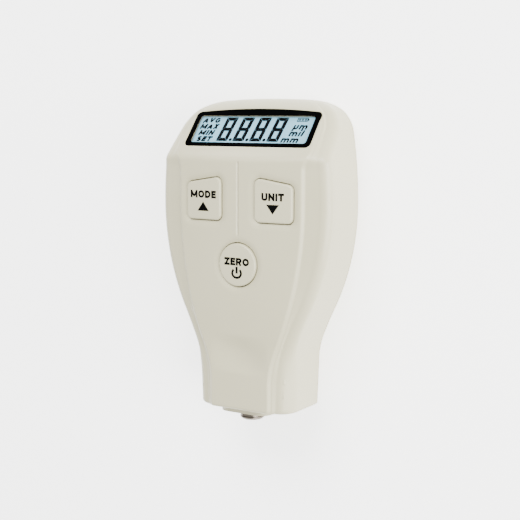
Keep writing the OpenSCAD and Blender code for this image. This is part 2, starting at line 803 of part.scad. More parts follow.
// A pan-head screw with its head's underside at zero and its point up
module screw(head_r, head_h, r, grip) {
    translate([0, 0, -head_h]) difference() {
        cylinder(r = head_r, h = head_h);
        for (a = [0, 90]) rotate(a) translate([-head_r * 0.6, -head_r * 0.13, -eps])
            cube([head_r * 1.2, head_r * 0.26, head_h * 0.5]);
    }
    cylinder(r = r, h = grip - r);
    translate([0, 0, grip - r]) cylinder(r1 = r, r2 = r * 0.3, h = r);
}

module display_screws() {
    color(steel) on_facet() for (s = [-1, 1]) translate([s * dpost_x, dpost_up, dboard_z])
        screw(dscrew_head_r, dscrew_head_h, dscrew_r, dscrew_grip);
}

// Flat cable from the display board's back to the main board's front
module display_cable() {
    up = dboard_lo + dboard_rim;
    lap_y = cable_lap * cos(facet_deg);
    lap_z = cable_lap * sin(facet_deg);
    end_y = board_hi_y - 3.5;
    y1 = crease_y + up * cos(facet_deg) + dboard_z * sin(facet_deg);
    z1 = panel_z - up * sin(facet_deg) + dboard_z * cos(facet_deg);
    t = cable_t;
    dy = t * sin(facet_deg);
    dz = t * cos(facet_deg);
    color([0.85, 0.82, 0.70]) rotate([90, 0, 90]) linear_extrude(cable_w, center = true) polygon([
        [y1 + lap_y, z1 - lap_z], [y1, z1], [board_hi_y - 1, board_top + t], [end_y, board_top + t],
        [end_y, board_top], [board_hi_y - 0.9, board_top], [y1 - dy, z1 - dz - t],
        [y1 - dy + lap_y, z1 - dz - lap_z]
    ]);
}

module main_board() {
    r = board_corner_r;
    color(board_green) difference() {
        translate([0, 0, board_z]) linear_extrude(board_t) hull() {
            for (s = [-1, 1]) {
                translate([s * (board_half - r), board_hi_y - r]) circle(r);
                translate([s * (board_half - r), zero_y]) circle(r);
                translate([s * (board_post_x[1] + 3 - r), board_lo_y + r]) circle(r);
            }
        }
        at_board_screws() translate([0, 0, board_z - 1]) cylinder(r = board_hole_r, h = board_t + 2);
    }
}

module board_screws() {
    color(steel) at_board_screws() translate([0, 0, board_z])
        screw(bscrew_head_r, bscrew_head_h, bscrew_r, bscrew_grip);
}

// Flange and stem under a key cap
module key_foot(x, y) {
    translate([0, 0, flange_z]) linear_extrude(flange_t) children();
    translate([x, y, board_top + switch_h + plunger_h])
        cylinder(r = stem_r, h = flange_z - board_top - switch_h - plunger_h + eps);
}

module side_key() {
    intersection() {
        translate([0, 0, flange_z]) linear_extrude(2 * panel_z) side_key_outline(0);
        under_crown(key_rise);
    }
    key_foot(key_mid_x, key_mid_y) side_key_outline(flange_w);
}

module mode_key() {
    color(ivory) mirror([1, 0, 0]) side_key();
}

module unit_key() {
    color(ivory) side_key();
}

module zero_key() {
    color(ivory) {
        intersection() {
            translate([0, 0, flange_z]) linear_extrude(2 * panel_z) zero_key_outline(0);
            under_crown(key_rise);
        }
        key_foot(0, zero_y) zero_key_outline(flange_w);
    }
}

module at_switches() {
    for (p = [[-key_mid_x, key_mid_y], [key_mid_x, key_mid_y], [0, zero_y]])
        translate([p[0], p[1], board_top]) children();
}

module key_switches() {
    color([0.15, 0.15, 0.16]) at_switches() translate([-switch_a / 2, -switch_a / 2, 0]) difference() {
        cube([switch_a, switch_a, switch_h]);
        translate([switch_a / 2, switch_a / 2, switch_h - key_travel - plunger_gap])
            cylinder(r = plunger_r + plunger_gap, h = switch_h);
    }
}

module plunger(x, y) {
    color([0.75, 0.74, 0.70]) translate([x, y, board_top + switch_h])
        cylinder(r = plunger_r, h = plunger_h);
}

module mode_plunger() { plunger(-key_mid_x, key_mid_y); }
module unit_plunger() { plunger(key_mid_x, key_mid_y); }
module zero_plunger() { plunger(0, zero_y); }

module controller_chip() {
    color([0.10, 0.10, 0.11]) translate([-controller[0] / 2, key_lo_y - 3.5, board_top]) cube(controller);
}

module amplifier_chip() {
    color([0.10, 0.10, 0.11]) translate([4.4 - board_post_x[1], board_lo_y + 8.25, board_top])
        cube(amplifier);
}

module crystal_can() {
    color(steel) translate([board_post_x[1] - 8, board_lo_y + 10.75, board_top]) cube(crystal);
}

module probe_connector() {
    color([0.90, 0.88, 0.80]) translate([-connector_w / 2, board_lo_y + connector_in, board_top])
        cube([connector_w, connector_len, probe_z + 2 * lead_r - board_top]);
}

module probe_lead() {
    color([0.20, 0.20, 0.22]) on_probe(housing_back_y + 0.2)
        cylinder(r = lead_r, h = board_lo_y + connector_in - housing_back_y - 0.2);
}

// A cell with its button at the upper end
module cell() {
    cylinder(r = cell_r, h = cell_body);
    translate([0, 0, cell_body]) cylinder(r = button_r, h = cell_button);
}

module left_cell() {
    color([0.25, 0.30, 0.38]) translate([-cell_x, cell_hi_y - cell_len, cell_z])
        rotate([-90, 0, 0]) cell();
}

module right_cell() {
    color([0.25, 0.30, 0.38]) translate([cell_x, cell_lo_y + cell_len, cell_z])
        rotate([90, 0, 0]) cell();
}

// A sheet-metal contact on an end wall of the bay, over the cell axes at x0 and x1
module contact(x0, x1, y) {
    color(steel) translate([x0 - contact_half, y, cell_z - contact_half])
        cube([x1 - x0 + 2 * contact_half, contact_t, 2 * contact_half]);
}

module bridge_contact() { contact(-cell_x, cell_x, bay_hi_y - contact_t); }
module negative_contact() { contact(-cell_x, -cell_x, bay_lo_y); }
module positive_contact() { contact(cell_x, cell_x, bay_lo_y); }

// A coil spring along z, with a radius that may change along its length
module coil(r0, r1, h, turns, wire_r) {
    steps = round(turns * 12);
    sides = 6;
    pitch = (h - 2 * wire_r) / steps;
    points = [for (i = [0:steps], k = [0:sides - 1])
        let (a = 30 * i, b = 360 * k / sides, r = r0 + (r1 - r0) * i / steps + wire_r * cos(b))
        [r * cos(a), r * sin(a), wire_r + pitch * i + wire_r * sin(b)]];
    skin = [for (i = [0:steps - 1], k = [0:sides - 1])
        let (n = (k + 1) % sides)
        [i * sides + k, i * sides + n, (i + 1) * sides + n, (i + 1) * sides + k]];
    ends = [[for (k = [sides - 1:-1:0]) k], [for (k = [0:sides - 1]) steps * sides + k]];
    polyhedron(points, concat(skin, ends));
}

module battery_springs() {
    r = cell_coil_r;
    color(steel) {
        translate([-cell_x, bay_lo_y + contact_t, cell_z]) rotate([-90, 0, 0])
            coil(r[0], r[1], cell_hi_y - cell_len - bay_lo_y - contact_t, cell_coil_turns, cell_wire_r);
        translate([cell_x, bay_hi_y - contact_t, cell_z]) rotate([90, 0, 0])
            coil(r[0], r[1], bay_hi_y - contact_t - cell_lo_y - cell_len, cell_coil_turns, cell_wire_r);
    }
}

module case_screws() {
    color(steel) at_case_screws() screw(screw_head_r, screw_head_h, screw_r, screw_grip);
}

// A ring around the probe's axis, from y0 to y1
module probe_ring(y0, y1, r_out, r_in) {
    on_probe(y0) difference() {
        cylinder(r = r_out, h = y1 - y0);
        translate([0, 0, -1]) cylinder(r = r_in, h = y1 - y0 + 2);
    }
}

module probe_bush() {
    color([0.75, 0.62, 0.32]) {
        probe_ring(bush_lo_y, bush_hi_y, bush_r, bush_bore_r);
        probe_ring(bush_flange_y, bush_flange_y + bush_flange_t, bush_flange_r, bush_bore_r);
    }
}

module probe_housing() {
    color([0.30, 0.30, 0.32]) {
        probe_ring(bush_flange_y + bush_flange_t, housing_hi_y, housing_bore_r + housing_t, housing_bore_r);
        probe_ring(housing_back_y, housing_hi_y, housing_bore_r + housing_t, lead_r + 0.05);
    }
}

// Outer barrel of the probe: a turned tube with two ring grooves and a flange that stops on the bush
module probe_sleeve() {
    h = sleeve_hi_y - tip_y - tip_proud;
    chamfer = 0.5;
    ring_d = 0.3;
    ring_at = [0.9, 1.8];
    ring = [[0, 0], [-ring_d, 0.1], [-ring_d, 0.4], [0, 0.5]];
    color([0.80, 0.79, 0.76]) on_probe(tip_y + tip_proud) rotate_extrude() polygon([
        [bobbin_r, 0], [sleeve_r - chamfer, 0], [sleeve_r, chamfer],
        for (y = ring_at, p = ring) [sleeve_r + p[0], y + p[1]],
        [sleeve_r, h - sleeve_flange_t], [sleeve_r + sleeve_rim, h - sleeve_flange_t],
        [sleeve_r + sleeve_rim, h], [bobbin_r, h]
    ]);
}

module probe_bobbin() {
    h = sleeve_hi_y - tip_y - tip_proud;
    lo = bobbin_lo + bobbin_flange;
    hi = h - bobbin_hi - bobbin_flange;
    color([0.12, 0.12, 0.13]) on_probe(tip_y + tip_proud) rotate_extrude() polygon([
        [core_r, bobbin_lo], [bobbin_r, bobbin_lo], [bobbin_r, lo], [hub_r, lo], [hub_r, hi],
        [bobbin_r, hi], [bobbin_r, h - bobbin_hi], [core_r, h - bobbin_hi]
    ]);
}

module probe_winding() {
    lo_y = tip_y + tip_proud + bobbin_lo + bobbin_flange;
    hi_y = sleeve_hi_y - bobbin_hi - bobbin_flange;
    color([0.72, 0.38, 0.20]) probe_ring(lo_y, hi_y, bobbin_r - winding_in, hub_r);
}

// Steel core with a rounded measuring tip
module probe_core() {
    color(steel) on_probe(tip_y) {
        translate([0, 0, core_r]) cylinder(r = core_r, h = sleeve_hi_y - tip_y - core_r);
        translate([0, 0, core_r]) sphere(core_r);
    }
}

module probe_spring() {
    r = sleeve_r - spring_in;
    color(steel) on_probe(sleeve_hi_y) coil(r, r, spring_len, spring_turns, spring_wire_r);
}

front_shell();
rear_shell();
battery_cover();
display_window();
lcd_panel();
light_guide();
contact_strips();
display_board();
display_screws();
display_cable();
main_board();
board_screws();
mode_key();
unit_key();
zero_key();
key_switches();
mode_plunger();
unit_plunger();
zero_plunger();
controller_chip();
amplifier_chip();
crystal_can();
probe_connector();
probe_lead();
left_cell();
right_cell();
bridge_contact();
negative_contact();
positive_contact();
battery_springs();
case_screws();
probe_bush();
probe_housing();
probe_sleeve();
probe_bobbin();
probe_winding();
probe_core();
probe_spring();
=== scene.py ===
"""Looks of the hand-held coating gauge: fine shells, keys, display, materials, light and camera."""

import math

import bmesh
import bpy
import numpy as np
from mathutils import Matrix, Vector


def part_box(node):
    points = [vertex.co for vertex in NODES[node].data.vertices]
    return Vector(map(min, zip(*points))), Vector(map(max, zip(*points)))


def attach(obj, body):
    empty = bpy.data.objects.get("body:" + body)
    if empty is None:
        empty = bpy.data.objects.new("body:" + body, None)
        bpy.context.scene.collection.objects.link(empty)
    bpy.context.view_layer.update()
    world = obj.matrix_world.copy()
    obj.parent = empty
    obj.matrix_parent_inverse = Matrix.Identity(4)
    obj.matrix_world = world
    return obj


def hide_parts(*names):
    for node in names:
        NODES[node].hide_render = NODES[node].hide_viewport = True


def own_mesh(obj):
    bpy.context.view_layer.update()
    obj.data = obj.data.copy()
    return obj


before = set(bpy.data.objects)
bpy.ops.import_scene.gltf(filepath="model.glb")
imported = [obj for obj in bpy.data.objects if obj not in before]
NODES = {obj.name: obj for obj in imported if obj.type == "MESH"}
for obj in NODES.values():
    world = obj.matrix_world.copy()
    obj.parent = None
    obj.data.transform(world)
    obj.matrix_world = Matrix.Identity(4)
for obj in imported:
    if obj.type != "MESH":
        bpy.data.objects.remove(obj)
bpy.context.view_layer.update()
MM = 0.001

# Sizes of the case, in millimetres, as in the part's source
CASE_LEN, CASE_W, PANEL_Z, CROWN = 96.6, 61.0, 26.3, 1.1
WALL, PART_Z = 1.8, 7.0
BELLY_R, SHOULDER_R, BELLY_BACK = 73.8, 158.0, 32.5
FOOT_W, FOOT_TAPER, NECK_BLEND, FOOT_SET_IN = 34.0, 0.04, 4.8, 3.2
CORNER_R, END_ARCH, END_R, FOOT_END_R = 8.6, 2.1, 3.0, 1.1
PANEL_W, PANEL_R, FOOT_PANEL_W = 45.2, 112.0, 22.2
LIP_H, LIP_R, BAND_FALL, SHOULDER_A, SHOULDER_B = 0.8, 1.1, 0.6, 3.4, 2.6
BAND_MIN, FACET_RIM, SEAM = 0.8, 0.45, 0.16
BACK_A, BACK_B = 10.0, 6.4
CREASE_BACK, FACET_DEG = 18.1, 39.0
DENT_UP, DENT_A, DENT_B, DENT_LO, DENT_D = 17.4, 10.5, 6.6, 5.4, 1.2
GROOVE_W = 0.9
COLLAR_H, COLLAR_A, COLLAR_B, PROBE_REACH, PROBE_Z = 1.2, 9.0, 6.6, 3.0, 18.5
BUSH_R = 4.92
TOP_Y = (CASE_LEN + COLLAR_H + PROBE_REACH) / 2
FOOT_Y = TOP_Y - CASE_LEN
CREASE_Y = TOP_Y - CREASE_BACK
BELLY_Y = TOP_Y - BELLY_BACK
NECK_LO, NECK_HI = FOOT_Y + 9.2, FOOT_Y + 25.2
DENT_Y = FOOT_Y + DENT_UP
FACET_M = math.tan(math.radians(FACET_DEG))
FACET_K = 1 / math.cos(math.radians(FACET_DEG))

# Keys
KEY_IN, KEY_W, KEY_LEN, KEY_SLOPE, KEY_R, KEY_DROP = 6.1, 13.0, 13.2, 1.5, 1.8, 6.0
ZERO_R, ZERO_DROP, KEY_RISE, KEY_GAP = 6.65, 6.7, 0.35, 0.3
DISH_W, DISH_D = 2.2, 0.55
KEY_TOP = CREASE_Y - KEY_DROP
KEY_LO = KEY_TOP - KEY_LEN
KEY_MID_X = KEY_IN + KEY_W / 2
KEY_MID_Y = KEY_LO + (KEY_LEN - KEY_SLOPE / 2) / 2
ZERO_Y = KEY_LO - ZERO_DROP - ZERO_R
CROWN_R = (PANEL_W ** 2 / 4 + CROWN ** 2) / (2 * CROWN)
FLANGE_W, FLANGE_T, STEM_R = 0.8, 0.8, 1.9
FLANGE_Z = PANEL_Z - WALL - 0.4 - FLANGE_T

# Display, along the facet
WINDOW_W, WINDOW_LEN, WINDOW_ARCH, WINDOW_UP = 45.4, 13.6, 1.2, 4.4
WINDOW_T, WINDOW_GAP, WINDOW_R = 0.8, 0.1, 1.6
VIEW_W, VIEW_LEN, VIEW_LO = 42.6, 11.4, 5.5
LCD_TOP = -WINDOW_T - 0.02
MASK_HALF, MASK_LO, MASK_HI, MASK_R, MASK_T = 20.9, 5.9, 16.5, 1.0, 0.06

# Batteries, cover and screws
CELL_R, CELL_GAP, COVER_T, COVER_GAP = 5.25, 0.7, 1.5, 0.2
CELL_LEN, CELL_SPRING, CELL_SEAT, CONTACT_T, BAY_PLAY = 44.5, 3.0, 0.5, 0.4, 0.2
CELL_X = CELL_R + CELL_GAP / 2
CELL_Z = COVER_T + 0.5 + CELL_R
BAY_HALF = 2 * CELL_R + CELL_GAP / 2 + 0.3
BAY_LO = FOOT_Y + 27.7
BAY_HI = BAY_LO + CELL_LEN + CELL_SPRING + 2 * CONTACT_T + BAY_PLAY
RAIL_Z = COVER_T + COVER_GAP
COVER_HALF, COVER_HI = BAY_HALF + 1.2, BAY_HI + 1.6
TONGUE_W, TONGUE_T = 1.0, 0.7
GROOVE_Z = COVER_T - TONGUE_T - COVER_GAP
POST_R, HEAD_R, HEAD_H, HEAD_PLAY, SHANK_R = 2.7, 2.4, 1.5, 0.3, 1.5
POST_HI_UP, POST_HI_IN, HEAD_HI_DEEP = 6.1, 1.5, 1.5
POST_LO_UP, POST_LO_IN, HEAD_LO_DEEP = 8.2, 1.6, 0.4

# Thickness of the fine outer skin of the shells, and how far it reaches into the solid behind it
SKIN, OVERLAP, WELD = WALL / 2, 0.05, 1e-7
FRONT_STEPS, REAR_STEPS = 12, 13

# Part of the length with the keys and the crease, where the front's sections lie closest
FINE_LO, FINE_HI, CREASE_END = -10.5, 29.2, 35.5

# Print: half its thickness, and how far it lies above the keys and the liquid crystal
INK_HALF, INK_LIFT, SIGN_LIFT = 0.01, 0.014, 0.012


def sstep(a, b, v):
    t = np.clip((v - a) / (b - a), 0, 1)
    return t * t * (3 - 2 * t)


def smax(a, b, k):
    h = np.maximum(k - np.abs(a - b), 0) / k
    return np.maximum(a, b) + h * h * k / 4


def arc_fall(r, d):
    return r - np.sqrt(np.maximum(r * r - d * d, 0))


def belly_half(y):
    return CASE_W / 2 - arc_fall(np.where(y < BELLY_Y, BELLY_R, SHOULDER_R), y - BELLY_Y)


def half_w(y, s=0.0):
    foot = FOOT_W / 2 + FOOT_TAPER * (y - FOOT_Y)
    side = np.where(y < BELLY_Y, smax(belly_half(y), foot, NECK_BLEND), belly_half(y))
    return side - s - arc_fall(CORNER_R - s, np.maximum(0, y - TOP_Y + CORNER_R))


def end_inset(y):
    return arc_fall(END_R, np.maximum(0, y - TOP_Y + END_R)) + arc_fall(
        FOOT_END_R, np.maximum(0, FOOT_Y + FOOT_END_R - y))


def panel_half(y):
    key_part = smax(PANEL_W / 2 - arc_fall(PANEL_R, np.minimum(0, y - BELLY_Y)), FOOT_PANEL_W / 2, 3)
    room = half_w(y) - SHOULDER_A - BAND_MIN
    k = sstep(CREASE_Y - 3, CREASE_Y + 3, y)
    facet_part = WINDOW_W / 2 + WINDOW_GAP + LIP_R + FACET_RIM
    return np.minimum(key_part * (1 - k) + facet_part * k, room)


def crown_at(y):
    return CROWN * (1 - sstep(CREASE_Y - 1.5, CREASE_Y + 3, y)) * (
        0.25 + 0.75 * sstep(DENT_Y, DENT_Y + 16, y))


def front_z(x, y):
    fall = smax(0 * y, FACET_M * (y - CREASE_Y), 0.8)
    across = np.maximum(0, 1 - (x / DENT_A) ** 2) ** 1.5
    lower = np.maximum(0, 1 - ((y - DENT_Y) / DENT_LO) ** 2)
    upper = np.maximum(0, 1 - ((y - DENT_Y) / DENT_B) ** 2) ** 1.5
    dent = DENT_D * across * np.where(y < DENT_Y, lower, upper)
    return PANEL_Z - fall + crown_at(y) * (1 - (2 * x / PANEL_W) ** 2) - dent


def arched(x, y):
    return y - END_ARCH * (2 * x / CASE_W) ** 2 * np.maximum(0, y - BELLY_Y) / BELLY_BACK


def back_z(y):
    return FOOT_SET_IN * (1 - sstep(NECK_LO, NECK_HI, y))


# Outlines of the keys: points on them and distance outside them
KEY_CENTRES = np.array([
    (KEY_IN + KEY_R, KEY_LO + KEY_R), (KEY_IN + KEY_W - KEY_R, KEY_LO + KEY_R),
    (KEY_IN + KEY_W - KEY_R, KEY_TOP - KEY_SLOPE - KEY_R), (KEY_IN + KEY_R, KEY_TOP - KEY_R)])


def key_distance(x, y):
    """Distance of points outside the unit key's outline."""
    best = np.full(np.shape(x), np.inf)
    inside = np.ones(np.shape(x), bool)
    for a, b in zip(KEY_CENTRES, np.roll(KEY_CENTRES, -1, axis=0)):
        d = b - a
        t = np.clip(((x - a[0]) * d[0] + (y - a[1]) * d[1]) / (d @ d), 0, 1)
        best = np.minimum(best, np.hypot(x - a[0] - t * d[0], y - a[1] - t * d[1]))
        inside &= (d[0] * (y - a[1]) - d[1] * (x - a[0])) >= 0
    return np.where(inside, -best, best) - KEY_R


def zero_distance(x, y):
    return np.hypot(x, y - ZERO_Y) - ZERO_R


def key_outline(g, steps=12):
    """The unit key's outline grown by g, anticlockwise."""
    points = []
    for k, c in enumerate(KEY_CENTRES):
        before = c - KEY_CENTRES[k - 1]
        after = KEY_CENTRES[(k + 1) % 4] - c
        a0 = math.atan2(before[1], before[0]) - math.pi / 2
        a1 = math.atan2(after[1], after[0]) - math.pi / 2
        a1 += 2 * math.pi if a1 < a0 else 0
        for i in range(steps + 1):
            a = a0 + (a1 - a0) * i / steps
            points.append(c + (KEY_R + g) * np.array((math.cos(a), math.sin(a))))
        nxt = KEY_CENTRES[(k + 1) % 4]
        last = points[-1]
        end = last + nxt - c
        points += [last + (end - last) * t for t in (0.2, 0.4, 0.6, 0.8)]
    return np.array(points)


def circle(cx, cy, r, n=64):
    a = np.linspace(0, 2 * np.pi, n, endpoint=False)
    return np.stack([cx + r * np.cos(a), cy + r * np.sin(a)], 1)


def dish(x, y):
    """Soft hollow of the panel around each key, and the engraved centre line."""
    depth = np.zeros(np.shape(x))
    for d in (key_distance(np.abs(x), y), zero_distance(x, y)):
        t = np.clip(1 - (d - KEY_GAP) / DISH_W, 0, 1)
        depth = np.maximum(depth, DISH_D * t * t)
    lo, hi = ZERO_Y + ZERO_R + 2.2, CREASE_Y - 0.8
    ends = np.clip((y - lo) / 0.6, 0, 1) * np.clip((hi - y) / 0.6, 0, 1)
    line = np.clip(1 - np.abs(x) / (GROOVE_W / 2), 0, 1) * 0.45 * ends
    return depth + line


# Meshes
def link(name, verts, faces, smooth=True):
    mesh = bpy.data.meshes.new(name)
    mesh.from_pydata(np.asarray(verts, float).tolist(), [], faces)
    bm = bmesh.new()
    bm.from_mesh(mesh)
    bmesh.ops.recalc_face_normals(bm, faces=bm.faces)
    bm.to_mesh(mesh)
    bm.free()
    obj = bpy.data.objects.new(name, mesh)
    bpy.context.scene.collection.objects.link(obj)
    if smooth:
        mesh.polygons.foreach_set("use_smooth", np.ones(len(mesh.polygons), bool))
    return obj


def loft(name, halves, ys):
    """A closed solid through half sections (station, point, x and z), mirrored over the centre line."""
    count, m, _ = halves.shape
    n = 2 * m - 1
    x = np.concatenate([-halves[:, :0:-1, 0], halves[:, :, 0]], 1)
    z = np.concatenate([halves[:, :0:-1, 1], halves[:, :, 1]], 1)
    y = arched(np.abs(x), ys[:, None] + 0 * x)
    rings = np.stack([x, y, z], 2) * MM
    caps = [(r[0] + r[n - 1]) / 4 + r[m - 1] / 2 for r in (rings[0], rings[-1])]
    verts = np.concatenate([rings.reshape(-1, 3), np.array(caps)])
    j, i = np.meshgrid(np.arange(count - 1), np.arange(n), indexing="ij")
    k = (i + 1) % n
    quads = np.stack([j * n + i, (j + 1) * n + i, (j + 1) * n + k, j * n + k], 2).reshape(-1, 4)
    faces = quads.tolist()
    last = (count - 1) * n
    for i in range(n):
        faces.append((i, (i + 1) % n, count * n))
        faces.append((last + (i + 1) % n, last + i, count * n + 1))
    return link(name, verts, faces)


def prism(name, outline, z0, z1, place=None):
    """A straight prism over an outline in millimetres, moved by place."""
    p = np.asarray(outline, float)
    n = len(p)
    verts = np.concatenate([np.column_stack([p, np.full(n, z)]) for z in (z0, z1)]) * MM
    if place is not None:
        m = np.array(place)
        verts = verts @ m[:3, :3].T + m[:3, 3]
    faces = [tuple(range(n)), tuple(range(2 * n - 1, n - 1, -1))]
    faces += [(i, (i + 1) % n, n + (i + 1) % n, n + i) for i in range(n)]
    return link(name, verts, faces, smooth=False)


def box(name, x0, x1, y0, y1, z0, z1, place=None):
    return prism(name, [(x0, y0), (x1, y0), (x1, y1), (x0, y1)], z0, z1, place)


def joined(objs):
    """Several closed meshes as one object."""
    bm = bmesh.new()
    for o in objs:
        bm.from_mesh(o.data)
    mesh = bpy.data.meshes.new(objs[0].name)
    bm.to_mesh(mesh)
    bm.free()
    out = bpy.data.objects.new(objs[0].name, mesh)
    bpy.context.scene.collection.objects.link(out)
    for o in objs:
        bpy.data.objects.remove(o)
    return out


def boolean(obj, tool, operation):
    m = obj.modifiers.new("cut", "BOOLEAN")
    m.operation = operation
    m.solver = "MANIFOLD"
    m.object = tool
    bpy.context.view_layer.update()
    graph = bpy.context.evaluated_depsgraph_get()
    mesh = bpy.data.meshes.new_from_object(obj.evaluated_get(graph))
    obj.modifiers.clear()
    obj.data = mesh
    bpy.data.objects.remove(tool)
    return obj


def shade(obj, degrees=32):
    mesh = obj.data
    mesh.polygons.foreach_set("use_smooth", np.ones(len(mesh.polygons), bool))
    mesh.set_sharp_from_angle(angle=math.radians(degrees))
    return obj


FACET = Matrix.Translation((0, CREASE_Y * MM, PANEL_Z * MM)) @ Matrix.Rotation(
    math.radians(-FACET_DEG), 4, "X")


def on_probe(y):
    return Matrix.Translation((0, y * MM, PROBE_Z * MM)) @ Matrix.Rotation(math.radians(-90), 4, "X")


# Fine front shell
def front_half(y):
    e, w = end_inset(y), half_w(y) - end_inset(y)
    wp = np.minimum(panel_half(y), w - SHOULDER_A - BAND_MIN)
    foot_k = 1 - sstep(NECK_LO, NECK_HI, y)
    ra = SHOULDER_A + foot_k * 1.2
    ze = front_z(wp, arched(wp, y)) - e
    room = min(1, (ze - PART_Z) / 12)
    lip = LIP_H * (1 - 0.5 * sstep(CREASE_Y - 3, CREASE_Y + 1, y)) * room
    fall, rv = BAND_FALL * room, (SHOULDER_B + foot_k * 3) * room
    foot_r = 0.5
    t = np.concatenate([np.linspace(0, 0.03, 7)[:-1], np.linspace(0.03, 1, 84)])
    x = t * (wp - LIP_R)
    yy = arched(x, y)
    panel = np.stack([x, front_z(x, yy) - e - dish(x, yy)], 1)
    u = np.linspace(0, 1, 15)[1:]
    x = wp - LIP_R + u * (LIP_R + foot_r)
    ease = u * u * (3 - 2 * u)
    base = front_z(np.minimum(x, wp), arched(x, y)) - e
    lips = np.stack([x, base - lip * ease], 1)
    z_band = lips[-1, 1]
    u = np.linspace(0, 1, 9)[1:-1]
    x0, x1 = wp + foot_r, w - ra
    band = np.stack([x0 + u * (x1 - x0), z_band - fall * u], 1)
    a = np.radians(np.linspace(0, 90, 13))
    bend = np.stack([w - ra * (1 - np.sin(a)), z_band - fall - rv * (1 - np.cos(a))], 1)
    z_side = bend[-1, 1]
    u = np.linspace(0, 1, 8)[1:-1]
    side = np.stack([w + 0 * u, z_side + u * (PART_Z + SEAM - z_side)], 1)
    return np.concatenate([panel, lips, band, bend, side,
                           [[w, PART_Z + SEAM], [w - SEAM, PART_Z]]])


def front_stations():
    a = np.radians(np.linspace(90, 0, 9))
    b = np.radians(np.linspace(0, 90, 12))[1:]
    return np.concatenate([
        FOOT_Y + FOOT_END_R * (1 - np.sin(a)),
        np.arange(FOOT_Y + FOOT_END_R + 0.6, FINE_LO, 0.6),
        np.arange(FINE_LO, FINE_HI, 0.29),
        np.arange(FINE_HI, CREASE_END, 0.33),
        np.arange(CREASE_END, TOP_Y - CORNER_R, 0.6),
        np.linspace(TOP_Y - CORNER_R, TOP_Y - END_R, 11),
        TOP_Y - END_R + END_R * np.sin(b)])


def inner_stations(s, n):
    lo, hi = FOOT_Y + s, TOP_Y - s
    a = np.radians(np.array([30, 50, 70, 90]))
    return np.concatenate([
        lo + (CREASE_Y - lo) * np.arange(n + 1) / n,
        CREASE_Y + (TOP_Y - CORNER_R - CREASE_Y) * np.arange(1, 5) / 4,
        hi - (CORNER_R - s) * (1 - np.sin(a))])


def inner_front_half(y, s):
    w = half_w(y, s)
    wp = min(panel_half(y) - 0.5, w - 0.7 * SHOULDER_A)
    k = FACET_K if y > CREASE_Y else 1
    x = wp * np.arange(4) / 3
    top = np.maximum(front_z(x, arched(x, y)) - k * s, PART_Z + 0.4)
    drop = min(SHOULDER_B + LIP_H + BAND_FALL, top[-1] - PART_Z - 0.2)
    rest = [[w - SHOULDER_A * 0.4, top[-1] - 0.3 * drop], [w, top[-1] - drop], [w, PART_Z - 1]]
    return np.concatenate([np.stack([x, top], 1), rest])


def inner_rear_half(y, s):
    w, zb = half_w(y, s), back_z(y) + s
    b = min(BACK_B - 0.4, PART_Z - zb - 0.3)
    a = np.radians(np.array([90, 60, 30]))
    arc = np.stack([w - (BACK_A - 1) * (1 - np.cos(a)), zb + b * (1 - np.sin(a))], 1)
    return np.concatenate([[[0, zb]], arc, [[w, PART_Z - 0.2], [w, PART_Z + 1]]])


def lofted(name, half, ys, *more):
    return loft(name, np.array([half(y, *more) for y in ys]), ys)


def posts():
    """Place of each case screw and the height that its head sits at."""
    places = []
    for y, inward, deep in ((BELLY_Y + POST_HI_UP, POST_HI_IN, HEAD_HI_DEEP),
                            (FOOT_Y + POST_LO_UP, POST_LO_IN, HEAD_LO_DEEP)):
        x = float(half_w(y)) - WALL - POST_R - inward
        seat = float(back_z(y)) + deep + HEAD_H
        places += [(-x, y, seat), (x, y, seat)]
    return places


def mirrored(outline):
    return np.stack([-outline[::-1, 0], outline[::-1, 1]], 1)


def window_outline(g):
    """The window plate's outline on the facet, with an arched upper edge."""
    r = WINDOW_R + g
    half = WINDOW_W / 2 - WINDOW_R
    low = WINDOW_UP + WINDOW_R

    def arch(x):
        return WINDOW_UP + WINDOW_LEN + WINDOW_ARCH * (1 - (x / half) ** 2) - WINDOW_R

    def corner(cx, cy, a0, a1):
        turns = np.radians(np.linspace(a0, a1, 9))
        return [(cx + r * math.cos(a), cy + r * math.sin(a)) for a in turns]

    points = corner(-half, low, 180, 270) + corner(half, low, 270, 360) + corner(half, arch(half), 0, 84)
    points += [(x, arch(x) + r) for x in np.linspace(half, -half, 33)[1:-1]]
    return np.array(points + corner(-half, arch(half), 96, 180))


def rounded_rect(x0, x1, y0, y1, r, n=7):
    centres = ((x1 - r, y0 + r, -90), (x1 - r, y1 - r, 0), (x0 + r, y1 - r, 90), (x0 + r, y0 + r, 180))
    points = []
    for cx, cy, a in centres:
        turns = np.radians(np.linspace(a, a + 90, n))
        points += [(cx + r * math.cos(t), cy + r * math.sin(t)) for t in turns]
    return np.array(points)


def inside_of(name, half, steps, end_z):
    """The inner half of a shell's wall with its posts, webs and lips, from the part's own solid."""
    solid = bpy.data.objects.new(name + "_inside", NODES[name].data.copy())
    bpy.context.scene.collection.objects.link(solid)
    bm = bmesh.new()
    bm.from_mesh(solid.data)
    bmesh.ops.remove_doubles(bm, verts=bm.verts, dist=WELD)
    bm.to_mesh(solid.data)
    bm.free()
    ys = inner_stations(SKIN, steps)
    halves = np.array([half(y, SKIN) for y in ys])
    halves[:, -1, 1] = end_z
    return boolean(solid, loft("core", halves, ys), "INTERSECT")


